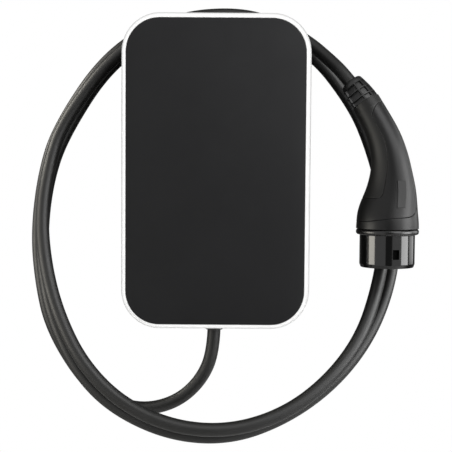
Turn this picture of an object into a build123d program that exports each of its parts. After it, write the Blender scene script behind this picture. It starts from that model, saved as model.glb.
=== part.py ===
from build123d import *
import math
import os

os.makedirs("parts", exist_ok=True)

# A wall-mounted charging box for electric cars, with its cable wound over a cradle behind it.
# Millimetres. The wall is the plane Y = 0 and the front looks along -Y, with +Z up. The origin
# is the centre of the wall plate's four holes, on the wall.

# Box
box_width = 199.0
box_height = 332.0
box_corner = 41.0
frame_band = 5.3          # white edge seen round the dark panel
frame_depth = 12.0
housing_depth = 46.0
housing_inset = 0.8       # the housing stands inside the frame's outline by this much
housing_wall = 3.0
cable_gap = 54.0          # from the wall to the back of the housing
fit_gap = 0.3             # between pieces that seat on each other
screw_gap = 0.1           # round a screw's shank
overrun = 5.0             # what a cutter stands out by

housing_back = cable_gap
housing_front = housing_back + housing_depth
frame_front = housing_front + frame_depth

# Wall plate
bracket_width = 120.0
bracket_height = 230.0
bracket_corner = 12.0
bracket_thickness = 3.0
wall_hole_spacing_x = 90.0
wall_hole_spacing_z = 190.0
wall_hole_radius = 3.25
supply_window_width = 44.0
supply_window_height = 60.0
supply_window_corner = 8.0
hook_spacing = 80.0
hook_width = 18.0
hook_height = 60.0        # of the hooks' arms above the origin
hook_reach = 8.0
hook_lip = 9.0
lock_tab_width = 34.0
lock_tab_reach = 22.0
lock_screw_radius = 2.5
lock_screw_head_radius = 4.6
lock_screw_head = 3.2
lock_screw_length = 12.0
lock_screw_depth = 15.0   # from the wall

# Cable cradle
cradle_arch = 157.4       # radius of the arch that the cable lies on
cradle_centre_z = 2.0
cradle_half_width = 92.0
cradle_wall = 3.0
cradle_rib = 2.4
cradle_rib_spacing = 56.0
cradle_edge = 4.0
cradle_boss_radius = 5.5
cradle_boss_depth = 10.0
cradle_boss_x = 74.0
cradle_boss_top = 92.0
cradle_boss_bottom = -96.0
cradle_screw_radius = 2.0
cradle_screw_head_radius = 3.8
cradle_screw_head = 2.6
cradle_screw_length = 16.0

# Cable
cable_diameter = 14.3
cable_points = [
    (-1, -78, -158.5), (-1, -78, -194.5), (-15, -78, -228.5), (-43, -76, -253.5),
    (-81, -74, -262.5), (-119, -71, -251.5), (-150, -66, -224.5), (-182, -60, -172.5),
    (-194, -53, -124.5), (-200, -45, -69.5), (-194, -35, -4.5), (-180, -22, 47.5),
    (-126, -14, 130.5), (-58, -12, 171.5), (29, -13, 178.5), (108, -13, 143.5),
    (160, -20, 80.5), (182, -27, 29.5), (196, -36, -24.5), (201, -44, -79.5),
    (190, -58, -134.5), (165, -79, -184.5), (126, -102, -226.5), (76, -120, -258.5),
    (18, -133, -277.5), (-44, -133, -274.5), (-103, -125, -250.5), (-142, -114, -216.5),
    (-168, -101, -171.5), (-183, -87, -126.5), (-191, -71, -73.5), (-187, -55, -12.5),
    (-172, -38, 39.5), (-121, -28, 121.5), (-54, -28, 162.5), (28, -27, 170.5),
    (104, -29, 138.5), (153, -36, 75.5), (173, -44, 26.5), (186, -52, -25.5),
    (187, -59, -77.5), (177, -74, -127.5), (157, -99, -176.5), (121, -122, -218.5),
    (74, -139, -250.5), (17, -149, -266.5), (-42, -150, -262.5), (-97, -142, -239.5),
    (-138, -132, -200.5), (-165, -116, -152.5), (-181, -100, -103.5), (-189, -82, -49.5),
    (-183, -66, 7.5), (-169, -52, 54.5), (-113, -45, 130.5), (-49, -44, 168.5),
    (25, -44, 175.5), (74, -43, 159.5), (102, -49, 142.5), (123, -67, 121.5),
    (137, -81, 105.5), (154, -89, 82.5),
]
arc_share = 0.45          # of the shorter run, on each side of a corner
cable_bore_radius = cable_diameter / 2 + fit_gap

# Cable outlet
outlet_x = float(cable_points[0][0])
outlet_depth = -float(cable_points[0][1])
bay_half_width = 21.0
bay_height = 28.5
bay_corner = 6.0
gland_thread_radius = 10.0
gland_hex_radius = 14.0   # over the corners
gland_hex_height = 6.0
gland_cap_radius = 13.6
gland_cap_height = 7.5
gland_tail_height = 20.3  # of the tapered bend relief under the cap
gland_tail_radius = 12.3
gland_tail_tip = 9.6
gland_tail_edge = 1.2
gland_hex_sides = 6
gland_stem_height = 12.0
gland_nut_height = 4.5
gland_seal_height = 8.0
gland_seal_wall = 2.2
core_radius = 1.7
core_ring_radius = 4.2
tail_length = 34.0        # of sheath inside the gland
core_rise = 20.0          # of a core straight out of what it ends in
core_bend = 5.0

# Front
panel_gap = 0.25
panel_thickness = 4.0
panel_edge = 0.5
panel_setback = 0.2
frame_edge = 3.0
frame_lip = 6.0
frame_inner_edge = 0.6
gasket_width = 2.2
gasket_thickness = 1.6
gasket_inset = 0.4
rear_edge = 4.0

# Cover screws
cover_screw_radius = 1.75
cover_screw_head_radius = 3.4
cover_screw_head = 2.6
cover_boss_radius = 5.0
cover_boss_side_inset = 20.0
cover_boss_end_inset = 19.0
cover_head_recess = 4.0

# Supply entry
supply_height = 124.0     # above the origin
grommet_bore = 9.0
grommet_neck = 14.0
grommet_flange = 17.0
grommet_lip = 2.0
grommet_skin = 1.0

# Power board
board_width = 150.0
board_height = 204.0
board_centre_z = -25.0
board_thickness = 1.6
board_corner = 3.0
board_post_height = 7.0
board_post_radius = 3.6
board_screw_radius = 1.5
board_screw_head_radius = 3.0
board_screw_head = 2.0
board_screw_bite = 5.0
board_screw_x = 69.0
board_screw_margin = 6.0

# Control board
spacer_radius = 3.0
spacer_height = 26.0
spacer_sides = 6
control_width = 146.0
control_height = 70.0
control_centre_z = 33.0
spacer_margin = 5.0
shield_size = 28.0
shield_height = 3.0
radio_width = 26.0
radio_height = 18.0
radio_thickness = 3.2

# Pieces on the power board
terminal_width = 62.0
terminal_height = 20.0
terminal_depth = 24.0
terminal_z = 64.0
terminal_poles = 5
terminal_mouth = 7.0
terminal_mouth_depth = 10.0
terminal_screw_radius = 2.6
terminal_slot = 0.9
relay_width = 26.0
relay_height = 34.0
relay_depth = 20.0
relay_pitch = 34.0
relay_count = 4
relay_z = 18.0
relay_edge = 1.0
arrester_radius = 6.5
arrester_thickness = 4.5
arrester_pitch = 22.0
arrester_count = 3
arrester_z = 44.5
sensor_width = 36.0
sensor_depth = 32.0
sensor_height = 15.0
sensor_bore = 8.5
sensor_z = -75.0
sensor_edge = 2.0
module_width = 48.0
module_height = 30.0
module_depth = 22.0
module_x = -46.0
module_z = -98.0
capacitor_radius = 5.5
capacitor_height = 18.0
capacitor_pitch = 15.0
capacitor_count = 3
capacitor_x = 44.0
capacitor_z = -100.0
earth_bar_width = 44.0
earth_bar_height = 9.0
earth_bar_depth = 7.0
earth_bar_x = 45.0
earth_bar_z = -62.0
earth_hole_radius = 2.0
earth_hole_count = 4

# Status board behind the panel
status_width = 70.0
status_height = 52.0
status_z = 30.0
status_screw_margin = 5.0
panel_post_height = 3.0
panel_post_radius = 3.0
guide_width = 44.0
guide_height = 5.0
ribbon_width = 16.0
ribbon_thickness = 0.8

# Plug. Its own frame stands on the centre of the flange, with local X towards the outside of the
# bend, local Z up along the nose's axis, and the whole plug turned about its axis.
plug_x = 182.4
plug_depth = 102.7
plug_z = -62.0
plug_turn = 25.0
plug_wall = 2.6
seam = 0.15               # half the gap at a seam
flange_radius = 33.1
flange_height = 5.8
nose_radius = 29.1
nose_length = 34.6
nose_wall = 3.0
nose_edge = 1.2
handle_height = 132.9
handle_reach = 25.5
boot_tilt = 35.4
collar_height = 10.4      # of the collar's seam above the flange, at the axis
collar_slope = 6.2
boot_axis_tilt = 37.8
boot_length = 28.0
boot_tip_radius = 11.9
boot_end_radius = 15.3
boot_rim = 2.2
boot_rows = 3
boot_columns = 8
boot_phase_share = 0.167  # of a column's turn, from the outside of the bend
boot_spigot_radius = 11.6
pocket_depth = 2.0
pocket_web = 1.6
boot_spigot = 7.0
lock_hole_width = 6.0
lock_hole_height = 10.2
lock_hole_middle = -22.6
lock_hole_turn = 32.0
insert_thickness = 13.0
insert_back = -9.0
post_height = 8.0
post_radius = 5.4
signal_post_radius = 3.6
power_sleeve_radius = 4.2
power_sleeve_bore = 3.05
signal_sleeve_radius = 2.4
signal_sleeve_bore = 1.6
sleeve_tail = 15.0
sleeve_recess = 1.0
sleeve_solid_share = 0.3
face_pitch_x = 8.0
face_pitch_wide = 16.0
face_row = 13.5
plate_width = 9.6
plate_height = 27.5
plate_depth = 0.8
plate_middle = 39.8
plate_turn = 41.0
plate_tilt = 13.0
plate_radius_share = 0.80  # of the flange radius, where the plate lies
spigot_radius = 28.8
spigot_height = 9.0
insert_ledge = 1.5
seal_height = 2.0
seal_width = 1.2
clamp_length = 8.0
clamp_wall = 3.6
clamp_slit = 1.6
clamp_distance = 9.0      # from the middle of the boot's length to the clamp's middle
clamp_screw_radius = 1.2
clamp_screw_head_radius = 1.8
clamp_screw_head = 1.6
clamp_screw_seat = 3.2
handle_screw_radius = 1.5
handle_screw_head_radius = 2.8
handle_screw_head = 1.8
handle_screw_seat = 8.0   # from the middle plane to under the head
handle_screw_length = 15.0
handle_boss_radius = 4.4
plug_core_radius = 1.5
plug_signal_radius = 0.9
plug_core_bend = 12.0
wire_lead = 12.0          # straight above each contact
wire_bend = 4.0
wire_bite = 4.0           # of each wire into the sheath's end
bundle_height_share = 0.38
bundle_side = 2.0         # towards the inside of the bend
core_squeeze_share = 0.42 # of the poles' spacing, once the wires are inside the grip

# Sections of the grip, from the boot down to the flange, each as shares: height of the grip,
# sideways reach, width and thickness of the flange's radius, and tilt of the boot's end
handle_section_shares = [
    (1.0, -1.0, 0.478, 0.469, 1.0),
    (0.886, -0.635, 0.487, 0.484, 0.80),
    (0.725, -0.204, 0.533, 0.508, 0.588),
    (0.549, 0.059, 0.608, 0.557, 0.311),
    (0.456, 0.118, 0.668, 0.593, 0.124),
    (0.307, 0.106, 0.810, 0.696, 0.062),
    (0.208, 0.043, 0.907, 0.817, 0.0),
    (0.125, 0.0, 0.965, 0.920, 0.0),
    (0.053, 0.0, 0.991, 0.983, 0.0),
    (0.0, 0.0, 0.997, 0.997, 0.0),
]
# Seam of the soft inlay, from the boot round the side to the inside of the bend: shares of the
# grip's height and of the flange's radius
pad_seam_shares = [
    (1.04, -0.16), (0.968, -0.35), (0.915, -0.41), (0.829, -0.275), (0.734, -0.05),
    (0.546, 0.133), (0.413, 0.118), (0.296, 0.057),
]
# Screws of the two grip halves: shares of the grip's height and of the flange's radius
handle_screw_shares = [(0.30, 0.453), (0.655, 0.26)]
pad_foot_share = 0.245
pad_corner = 6.0


# A plane parallel to the wall at this depth, looked at from the room
def from_wall(depth):
    return Plane.XZ.offset(depth)


def at_height(height):
    return Plane.XY.offset(height)


turn = math.radians(plug_turn)
plug_side = Vector(math.cos(turn), -math.sin(turn), 0)
plug_back = Vector(math.sin(turn), math.cos(turn), 0)
plug_origin = Vector(plug_x, -plug_depth, plug_z)
plug_frame = Plane(origin=plug_origin, x_dir=plug_side, z_dir=(0, 0, 1))
plug_middle = Plane(origin=plug_origin, x_dir=plug_side, z_dir=plug_back * -1)


# A level plane of the plug, this far above its flange
def plug_at(height):
    return plug_frame.offset(height)


# A plane square to the grip's axis at a place in the plug's middle plane
def plug_section(side, height, tilt):
    lean = math.radians(tilt)
    up = Vector(0, 0, 1)
    across = plug_side * math.cos(lean) + up * math.sin(lean)
    along = up * math.cos(lean) - plug_side * math.sin(lean)
    return Plane(origin=plug_origin + plug_side * side + up * height, x_dir=across, z_dir=along)


# The radius of each corner's arc, from its two runs and half its turn
def tube_radii(points):
    radii = []
    for before, here, after in zip(points, points[1:], points[2:]):
        first = Vector(*here) - Vector(*before)
        second = Vector(*after) - Vector(*here)
        half_turn = math.radians(first.get_angle(second)) / 2
        radii.append(arc_share * min(first.length, second.length) / math.tan(half_turn))
    return radii


# Wall plate, with two hooks bent out of it and a tab under it
tab_plane_z = -bracket_height / 2
with BuildPart() as wall_bracket:
    with BuildSketch(from_wall(0)):
        RectangleRounded(bracket_width, bracket_height, bracket_corner)
        with GridLocations(wall_hole_spacing_x, wall_hole_spacing_z, 2, 2):
            Circle(wall_hole_radius, mode=Mode.SUBTRACT)
        with Locations((0, hook_height / 2 - supply_window_height / 2)):
            RectangleRounded(supply_window_width, supply_window_height, supply_window_corner,
                             mode=Mode.SUBTRACT)
    extrude(amount=bracket_thickness)
    for middle in (-hook_spacing / 2, hook_spacing / 2):
        with BuildSketch(Plane.YZ.offset(middle)):
            with BuildLine():
                Polyline(
                    (-bracket_thickness, hook_height),
                    (-bracket_thickness, hook_height - bracket_thickness),
                    (-bracket_thickness - hook_reach, hook_height - bracket_thickness),
                    (-bracket_thickness - hook_reach, hook_height + hook_lip),
                    (-hook_reach, hook_height + hook_lip),
                    (-hook_reach, hook_height),
                    close=True,
                )
            make_face()
        extrude(amount=hook_width / 2, both=True)
    with BuildSketch(at_height(tab_plane_z)):
        with Locations((0, -bracket_thickness - lock_tab_reach / 2)):
            Rectangle(lock_tab_width, lock_tab_reach)
        with Locations((0, -lock_screw_depth)):
            Circle(lock_screw_radius + screw_gap, mode=Mode.SUBTRACT)
    extrude(amount=bracket_thickness)
wall_bracket.part.label = "wall_bracket"
export_step(wall_bracket.part, "parts/wall_bracket.step")

# Arched cradle behind the box, open towards the wall
cradle_front = cable_gap
cradle_back = bracket_thickness + fit_gap
cradle_bottom = tab_plane_z - fit_gap - cradle_wall
cradle_depth = cradle_front - cradle_back
cradle_top = cradle_centre_z + cradle_arch
cradle_screw_places = [
    (side * cradle_boss_x, height)
    for side in (-1, 1)
    for height in (cradle_boss_bottom, cradle_boss_top)
]
with BuildSketch(Plane.XY) as cradle_outline:
    with Locations((0, cradle_centre_z)):
        Circle(cradle_arch)
    with Locations((0, (cradle_bottom + cradle_top) / 2)):
        Rectangle(2 * cradle_half_width, cradle_top - cradle_bottom, mode=Mode.INTERSECT)
    fillet(cradle_outline.vertices(), cradle_edge)
with BuildSketch(Plane.XY) as cradle_hollow:
    add(cradle_outline.sketch)
    offset(amount=-cradle_wall)
with BuildPart() as cable_cradle:
    with BuildSketch(from_wall(cradle_back)):
        add(cradle_outline.sketch)
    extrude(amount=cradle_depth)
    with BuildSketch(from_wall(cradle_back)):
        add(cradle_hollow.sketch)
    extrude(amount=cradle_depth - cradle_wall, mode=Mode.SUBTRACT)
    # Stiffening ribs stand behind the front wall, clear of the hooks
    rib_depth = cradle_depth - cradle_wall - hook_reach
    with BuildSketch(from_wall(cradle_front - cradle_wall)):
        with GridLocations(cradle_rib_spacing, 0, 2, 1):
            Rectangle(cradle_rib, 2 * cradle_arch)
        Rectangle(2 * cradle_half_width, cradle_rib)
        add(cradle_hollow.sketch, mode=Mode.INTERSECT)
    extrude(amount=-rib_depth)
    # Bar that hangs on the hooks
    with BuildSketch(from_wall(cradle_back)):
        with Locations((0, hook_height + fit_gap + hook_lip / 2)):
            Rectangle(2 * (cradle_half_width - cradle_wall), hook_lip)
    extrude(amount=hook_reach - bracket_thickness - 2 * fit_gap)
    # Ribs that carry the bar
    with BuildSketch(from_wall(cradle_back)):
        with Locations((0, hook_height + fit_gap + hook_lip - cradle_rib / 2)):
            Rectangle(2 * (cradle_half_width - cradle_wall), cradle_rib)
        with GridLocations(hook_spacing, 0, 2, 1):
            Rectangle(hook_width + 2 * cradle_wall, 2 * cradle_arch, mode=Mode.SUBTRACT)
        Rectangle(2 * grommet_flange, 2 * cradle_arch, mode=Mode.SUBTRACT)
    extrude(amount=cradle_depth - cradle_wall)
    with BuildSketch(from_wall(cradle_front - cradle_boss_depth)):
        with Locations(*cradle_screw_places):
            Circle(cradle_boss_radius)
    extrude(amount=cradle_boss_depth)
    with BuildSketch(from_wall(cradle_front - cradle_boss_depth)):
        with Locations(*cradle_screw_places):
            Circle(cradle_screw_radius + screw_gap)
    extrude(amount=cradle_boss_depth, mode=Mode.SUBTRACT)
    with BuildSketch(from_wall(cradle_front - cradle_wall)):
        with Locations((0, supply_height)):
            Circle(grommet_flange)
    extrude(amount=cradle_wall, mode=Mode.SUBTRACT)
    with BuildSketch(at_height(cradle_bottom)):
        with Locations((0, -lock_screw_depth)):
            Circle(lock_screw_radius + screw_gap)
    extrude(amount=cradle_wall, mode=Mode.SUBTRACT)
cable_cradle.part.label = "cable_cradle"
export_step(cable_cradle.part, "parts/cable_cradle.step")

with BuildPart() as bracket_lock_screw:
    with BuildSketch(at_height(cradle_bottom)):
        with Locations((0, -lock_screw_depth)):
            Circle(lock_screw_head_radius)
    extrude(amount=-lock_screw_head)
    with BuildSketch(at_height(cradle_bottom)):
        with Locations((0, -lock_screw_depth)):
            Circle(lock_screw_radius)
    extrude(amount=lock_screw_length)
bracket_lock_screw.part.label = "bracket_lock_screw"
export_step(bracket_lock_screw.part, "parts/bracket_lock_screw.step")

with BuildPart() as cradle_screws:
    with BuildSketch(from_wall(cradle_front - cradle_boss_depth)):
        with Locations(*cradle_screw_places):
            Circle(cradle_screw_head_radius)
    extrude(amount=-cradle_screw_head)
    with BuildSketch(from_wall(cradle_front - cradle_boss_depth)):
        with Locations(*cradle_screw_places):
            Circle(cradle_screw_radius)
    extrude(amount=cradle_screw_length)
cradle_screws.part.label = "cradle_screws"
export_step(cradle_screws.part, "parts/cradle_screws.step")

# Housing: a shell with a bay cut into its bottom for the cable outlet
housing_width = box_width - 2 * housing_inset
housing_height = box_height - 2 * housing_inset
housing_corner = box_corner - housing_inset
housing_bottom = -housing_height / 2
bay_roof = -box_height / 2 + bay_height
board_rear = housing_back + housing_wall + board_post_height
board_front = board_rear + board_thickness
board_screw_z = board_height / 2 - board_screw_margin
board_screw_places = [
    (side * board_screw_x, board_centre_z + up * board_screw_z)
    for side in (-1, 1)
    for up in (-1, 0, 1)
]
cover_boss_x = box_width / 2 - cover_boss_side_inset
cover_boss_z = box_height / 2 - cover_boss_end_inset
cover_screw_places = [
    (side * cover_boss_x, up * cover_boss_z) for side in (-1, 1) for up in (-1, 1)
]
with BuildSketch(Plane.XY) as housing_outline:
    RectangleRounded(housing_width, housing_height, housing_corner)
    with Locations((outlet_x, (bay_roof + housing_bottom - overrun) / 2)):
        Rectangle(2 * bay_half_width, bay_roof - housing_bottom + overrun, mode=Mode.SUBTRACT)
    bay_corners = (
        housing_outline.vertices()
        .filter_by_position(Axis.X, outlet_x - bay_half_width, outlet_x + bay_half_width)
        .filter_by_position(Axis.Y, housing_bottom, bay_roof)
    )
    fillet(bay_corners.group_by(Axis.Y)[-1], bay_corner)
with BuildSketch(Plane.XY) as housing_hollow:
    add(housing_outline.sketch)
    offset(amount=-housing_wall)
with BuildPart() as rear_housing:
    with BuildSketch(from_wall(housing_back)):
        add(housing_outline.sketch)
    extrude(amount=housing_depth)
    fillet(rear_housing.faces().sort_by(Axis.Y)[-1].outer_wire().edges(), rear_edge)
    with BuildSketch(from_wall(housing_back + housing_wall)):
        add(housing_hollow.sketch)
    extrude(amount=housing_depth, mode=Mode.SUBTRACT)
    with BuildSketch(from_wall(housing_back + housing_wall)):
        with Locations(*board_screw_places):
            Circle(board_post_radius)
        with Locations(*cradle_screw_places):
            Circle(cradle_boss_radius)
    extrude(amount=board_post_height)
    with BuildSketch(from_wall(housing_back + housing_wall)):
        with Locations(*cover_screw_places):
            Circle(cover_boss_radius)
    extrude(amount=housing_depth - housing_wall)
    with BuildSketch(from_wall(board_rear - board_screw_bite - fit_gap)):
        with Locations(*board_screw_places):
            Circle(board_screw_radius + screw_gap)
    extrude(amount=board_screw_bite + fit_gap, mode=Mode.SUBTRACT)
    with BuildSketch(from_wall(housing_back)):
        with Locations(*cradle_screw_places):
            Circle(cradle_screw_radius + screw_gap)
    extrude(amount=cradle_screw_length - cradle_boss_depth + fit_gap, mode=Mode.SUBTRACT)
    with BuildSketch(from_wall(housing_back)):
        with Locations(*cover_screw_places):
            Circle(cover_screw_radius + screw_gap)
    extrude(amount=housing_depth, mode=Mode.SUBTRACT)
    with BuildSketch(from_wall(housing_back)):
        with Locations(*cover_screw_places):
            Circle(cover_screw_head_radius + fit_gap)
    extrude(amount=cover_head_recess, mode=Mode.SUBTRACT)
    with BuildSketch(from_wall(housing_back)):
        with Locations((0, supply_height)):
            Circle(grommet_neck)
    extrude(amount=housing_wall, mode=Mode.SUBTRACT)
    with BuildSketch(at_height(bay_roof)):
        with Locations((outlet_x, -outlet_depth)):
            Circle(gland_thread_radius + fit_gap)
    extrude(amount=housing_wall, mode=Mode.SUBTRACT)
rear_housing.part.label = "rear_housing"
export_step(rear_housing.part, "parts/rear_housing.step")

# Gasket on the housing's rim, round the bay too
with BuildSketch(Plane.XY) as gasket_outline:
    add(housing_outline.sketch)
    offset(amount=-gasket_inset)
with BuildSketch(Plane.XY) as gasket_hollow:
    add(housing_outline.sketch)
    offset(amount=-gasket_inset - gasket_width)
with BuildPart() as housing_gasket:
    with BuildSketch(from_wall(housing_front)):
        add(gasket_outline.sketch)
        add(gasket_hollow.sketch, mode=Mode.SUBTRACT)
    extrude(amount=gasket_thickness)
housing_gasket.part.label = "housing_gasket"
export_step(housing_gasket.part, "parts/housing_gasket.step")

# White frame, with a lip that the panel seats on
frame_back = housing_front + gasket_thickness
panel_front = frame_front - panel_setback
panel_back = panel_front - panel_thickness
panel_width = box_width - 2 * frame_band - 2 * panel_gap
panel_height = box_height - 2 * frame_band - 2 * panel_gap
panel_corner = box_corner - frame_band - panel_gap
with BuildPart() as front_frame:
    with BuildSketch(from_wall(frame_back)):
        RectangleRounded(box_width, box_height, box_corner)
    extrude(amount=frame_front - frame_back)
    fillet(front_frame.faces().sort_by(Axis.Y)[0].outer_wire().edges(), frame_edge)
    with BuildSketch(from_wall(panel_back)):
        RectangleRounded(box_width - 2 * frame_band, box_height - 2 * frame_band,
                         box_corner - frame_band)
    extrude(amount=frame_front - panel_back, mode=Mode.SUBTRACT)
    pocket_rim = front_frame.faces().filter_by(Plane.XZ).sort_by(Axis.Y)[0].inner_wires()[0]
    fillet(pocket_rim.edges(), frame_inner_edge)
    with BuildSketch(from_wall(frame_back)):
        RectangleRounded(
            box_width - 2 * (frame_band + frame_lip),
            box_height - 2 * (frame_band + frame_lip),
            box_corner - frame_band - frame_lip,
        )
        with Locations((outlet_x, bay_roof - box_height / 2)):
            Rectangle(2 * (bay_half_width + frame_lip), box_height + 2 * frame_lip,
                      mode=Mode.SUBTRACT)
    extrude(amount=panel_back - frame_back, mode=Mode.SUBTRACT)
    with BuildSketch(from_wall(frame_back)):
        with Locations(*cover_screw_places):
            Circle(cover_boss_radius)
    extrude(amount=panel_back - frame_back)
    with BuildSketch(from_wall(frame_back)):
        with Locations(*cover_screw_places):
            Circle(cover_screw_radius + screw_gap)
    extrude(amount=panel_back - frame_back, mode=Mode.SUBTRACT)
front_frame.part.label = "front_frame"
export_step(front_frame.part, "parts/front_frame.step")

# Dark panel, with posts behind it for the status board
status_front = panel_back - panel_post_height
status_back = status_front - board_thickness
status_screw_places = [
    (side * (status_width / 2 - status_screw_margin),
     status_z + up * (status_height / 2 - status_screw_margin))
    for side in (-1, 1)
    for up in (-1, 1)
]
with BuildPart() as front_panel:
    with BuildSketch(from_wall(panel_back)):
        RectangleRounded(panel_width, panel_height, panel_corner)
    extrude(amount=panel_thickness)
    chamfer(front_panel.faces().sort_by(Axis.Y)[0].edges(), panel_edge)
    with BuildSketch(from_wall(status_front)):
        with Locations(*status_screw_places):
            Circle(panel_post_radius)
    extrude(amount=panel_post_height)
    with BuildSketch(from_wall(status_front)):
        with Locations(*status_screw_places):
            Circle(board_screw_radius + screw_gap)
    extrude(amount=board_screw_bite - board_thickness, mode=Mode.SUBTRACT)
front_panel.part.label = "front_panel"
export_step(front_panel.part, "parts/front_panel.step")

with BuildPart() as cover_screws:
    with BuildSketch(from_wall(housing_back + cover_head_recess)):
        with Locations(*cover_screw_places):
            Circle(cover_screw_head_radius)
    extrude(amount=-cover_screw_head)
    with BuildSketch(from_wall(housing_back + cover_head_recess)):
        with Locations(*cover_screw_places):
            Circle(cover_screw_radius)
    extrude(amount=panel_back - housing_back - cover_head_recess - fit_gap)
cover_screws.part.label = "cover_screws"
export_step(cover_screws.part, "parts/cover_screws.step")

# Grommet with a skin that the supply cable is pushed through
with BuildPart() as supply_grommet:
    with BuildSketch(from_wall(housing_back - cradle_wall)):
        with Locations((0, supply_height)):
            Circle(grommet_neck - fit_gap)
            Circle(grommet_bore, mode=Mode.SUBTRACT)
    extrude(amount=cradle_wall + housing_wall + grommet_lip)
    with BuildSketch(from_wall(housing_back + housing_wall)):
        with Locations((0, supply_height)):
            Circle(grommet_flange)
            Circle(grommet_bore, mode=Mode.SUBTRACT)
    extrude(amount=grommet_lip)
    with BuildSketch(from_wall(housing_back)):
        with Locations((0, supply_height)):
            Circle(grommet_neck - fit_gap)
    extrude(amount=grommet_skin)
supply_grommet.part.label = "supply_grommet"
export_step(supply_grommet.part, "parts/supply_grommet.step")

# Power board on the housing's posts
spacer_places = [
    (side * (control_width / 2 - spacer_margin),
     control_centre_z + up * (control_height / 2 - spacer_margin))
    for side in (-1, 1)
    for up in (-1, 1)
]
with BuildPart() as power_board:
    with BuildSketch(from_wall(board_rear)):
        with Locations((0, board_centre_z)):
            RectangleRounded(board_width, board_height, board_corner)
        with Locations(*board_screw_places):
            Circle(board_screw_radius + screw_gap, mode=Mode.SUBTRACT)
    extrude(amount=board_thickness)
power_board.part.label = "power_board"
export_step(power_board.part, "parts/power_board.step")

with BuildPart() as board_screws:
    with BuildSketch(from_wall(board_front)):
        with Locations(*board_screw_places):
            Circle(board_screw_head_radius)
    extrude(amount=board_screw_head)
    with BuildSketch(from_wall(board_front)):
        with Locations(*board_screw_places):
            Circle(board_screw_radius)
    extrude(amount=-board_thickness - board_screw_bite)
board_screws.part.label = "board_screws"
export_step(board_screws.part, "parts/board_screws.step")

# Terminals for the supply: one mouth and one screw for each pole
pole_pitch = terminal_width / terminal_poles
with BuildPart() as supply_terminals:
    with BuildSketch(from_wall(board_front)):
        with Locations((0, terminal_z)):
            Rectangle(terminal_width, terminal_height)
    extrude(amount=terminal_depth)
    with BuildSketch(at_height(terminal_z + terminal_height / 2)):
        with Locations((0, -board_front - terminal_depth / 2)):
            with GridLocations(pole_pitch, 0, terminal_poles, 1):
                Rectangle(terminal_mouth, terminal_mouth)
    extrude(amount=-terminal_mouth_depth, mode=Mode.SUBTRACT)
    with BuildSketch(from_wall(board_front + terminal_depth)):
        with Locations((0, terminal_z)):
            with GridLocations(pole_pitch, 0, terminal_poles, 1):
                Circle(terminal_screw_radius + fit_gap)
    extrude(amount=-terminal_mouth, mode=Mode.SUBTRACT)
supply_terminals.part.label = "supply_terminals"
export_step(supply_terminals.part, "parts/supply_terminals.step")

with BuildPart() as terminal_screws:
    with BuildSketch(from_wall(board_front + terminal_depth - terminal_mouth)):
        with Locations((0, terminal_z)):
            with GridLocations(pole_pitch, 0, terminal_poles, 1):
                Circle(terminal_screw_radius)
    extrude(amount=terminal_screw_radius * 2)
    with BuildSketch(from_wall(board_front + terminal_depth - terminal_mouth
                               + terminal_screw_radius * 2)):
        with Locations((0, terminal_z)):
            with GridLocations(pole_pitch, 0, terminal_poles, 1):
                Rectangle(terminal_screw_radius * 3, terminal_slot)
    extrude(amount=-terminal_slot, mode=Mode.SUBTRACT)
terminal_screws.part.label = "terminal_screws"
export_step(terminal_screws.part, "parts/terminal_screws.step")

with BuildPart() as relays:
    with BuildSketch(from_wall(board_front)):
        with Locations((0, relay_z)):
            with GridLocations(relay_pitch, 0, relay_count, 1):
                Rectangle(relay_width, relay_height)
    extrude(amount=relay_depth)
    chamfer(relays.faces().group_by(Axis.Y)[0].edges(), relay_edge)
relays.part.label = "relays"
export_step(relays.part, "parts/relays.step")

with BuildPart() as surge_arresters:
    with BuildSketch(at_height(arrester_z - arrester_thickness / 2)):
        with Locations((0, -board_front - fit_gap - arrester_radius)):
            with GridLocations(arrester_pitch, 0, arrester_count, 1):
                Circle(arrester_radius)
    extrude(amount=arrester_thickness)
surge_arresters.part.label = "surge_arresters"
export_step(surge_arresters.part, "parts/surge_arresters.step")

# Sensor ring round the cable's cores
with BuildPart() as residual_current_sensor:
    with BuildSketch(from_wall(board_front)):
        with Locations((outlet_x, sensor_z)):
            Rectangle(sensor_width, sensor_height)
    extrude(amount=sensor_depth)
    fillet(residual_current_sensor.edges().filter_by(Axis.Z), sensor_edge)
    with BuildSketch(at_height(sensor_z - sensor_height / 2)):
        with Locations((outlet_x, -board_front - sensor_depth / 2)):
            Circle(sensor_bore)
    extrude(amount=sensor_height, mode=Mode.SUBTRACT)
residual_current_sensor.part.label = "residual_current_sensor"
export_step(residual_current_sensor.part, "parts/residual_current_sensor.step")

with BuildPart() as power_supply_module:
    with BuildSketch(from_wall(board_front)):
        with Locations((module_x, module_z)):
            Rectangle(module_width, module_height)
    extrude(amount=module_depth)
    chamfer(power_supply_module.faces().sort_by(Axis.Y)[0].edges(), relay_edge)
power_supply_module.part.label = "power_supply_module"
export_step(power_supply_module.part, "parts/power_supply_module.step")

with BuildPart() as smoothing_capacitors:
    with BuildSketch(from_wall(board_front)):
        with Locations((capacitor_x, capacitor_z)):
            with GridLocations(capacitor_pitch, 0, capacitor_count, 1):
                Circle(capacitor_radius)
    extrude(amount=capacitor_height)
    fillet(smoothing_capacitors.faces().group_by(Axis.Y)[0].edges(), relay_edge)
smoothing_capacitors.part.label = "smoothing_capacitors"
export_step(smoothing_capacitors.part, "parts/smoothing_capacitors.step")

with BuildPart() as earth_bar:
    with BuildSketch(from_wall(board_front)):
        with Locations((earth_bar_x, earth_bar_z)):
            Rectangle(earth_bar_width, earth_bar_height)
            with GridLocations(earth_bar_height, 0, earth_hole_count, 1):
                Circle(earth_hole_radius, mode=Mode.SUBTRACT)
    extrude(amount=earth_bar_depth)
earth_bar.part.label = "earth_bar"
export_step(earth_bar.part, "parts/earth_bar.step")

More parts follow.
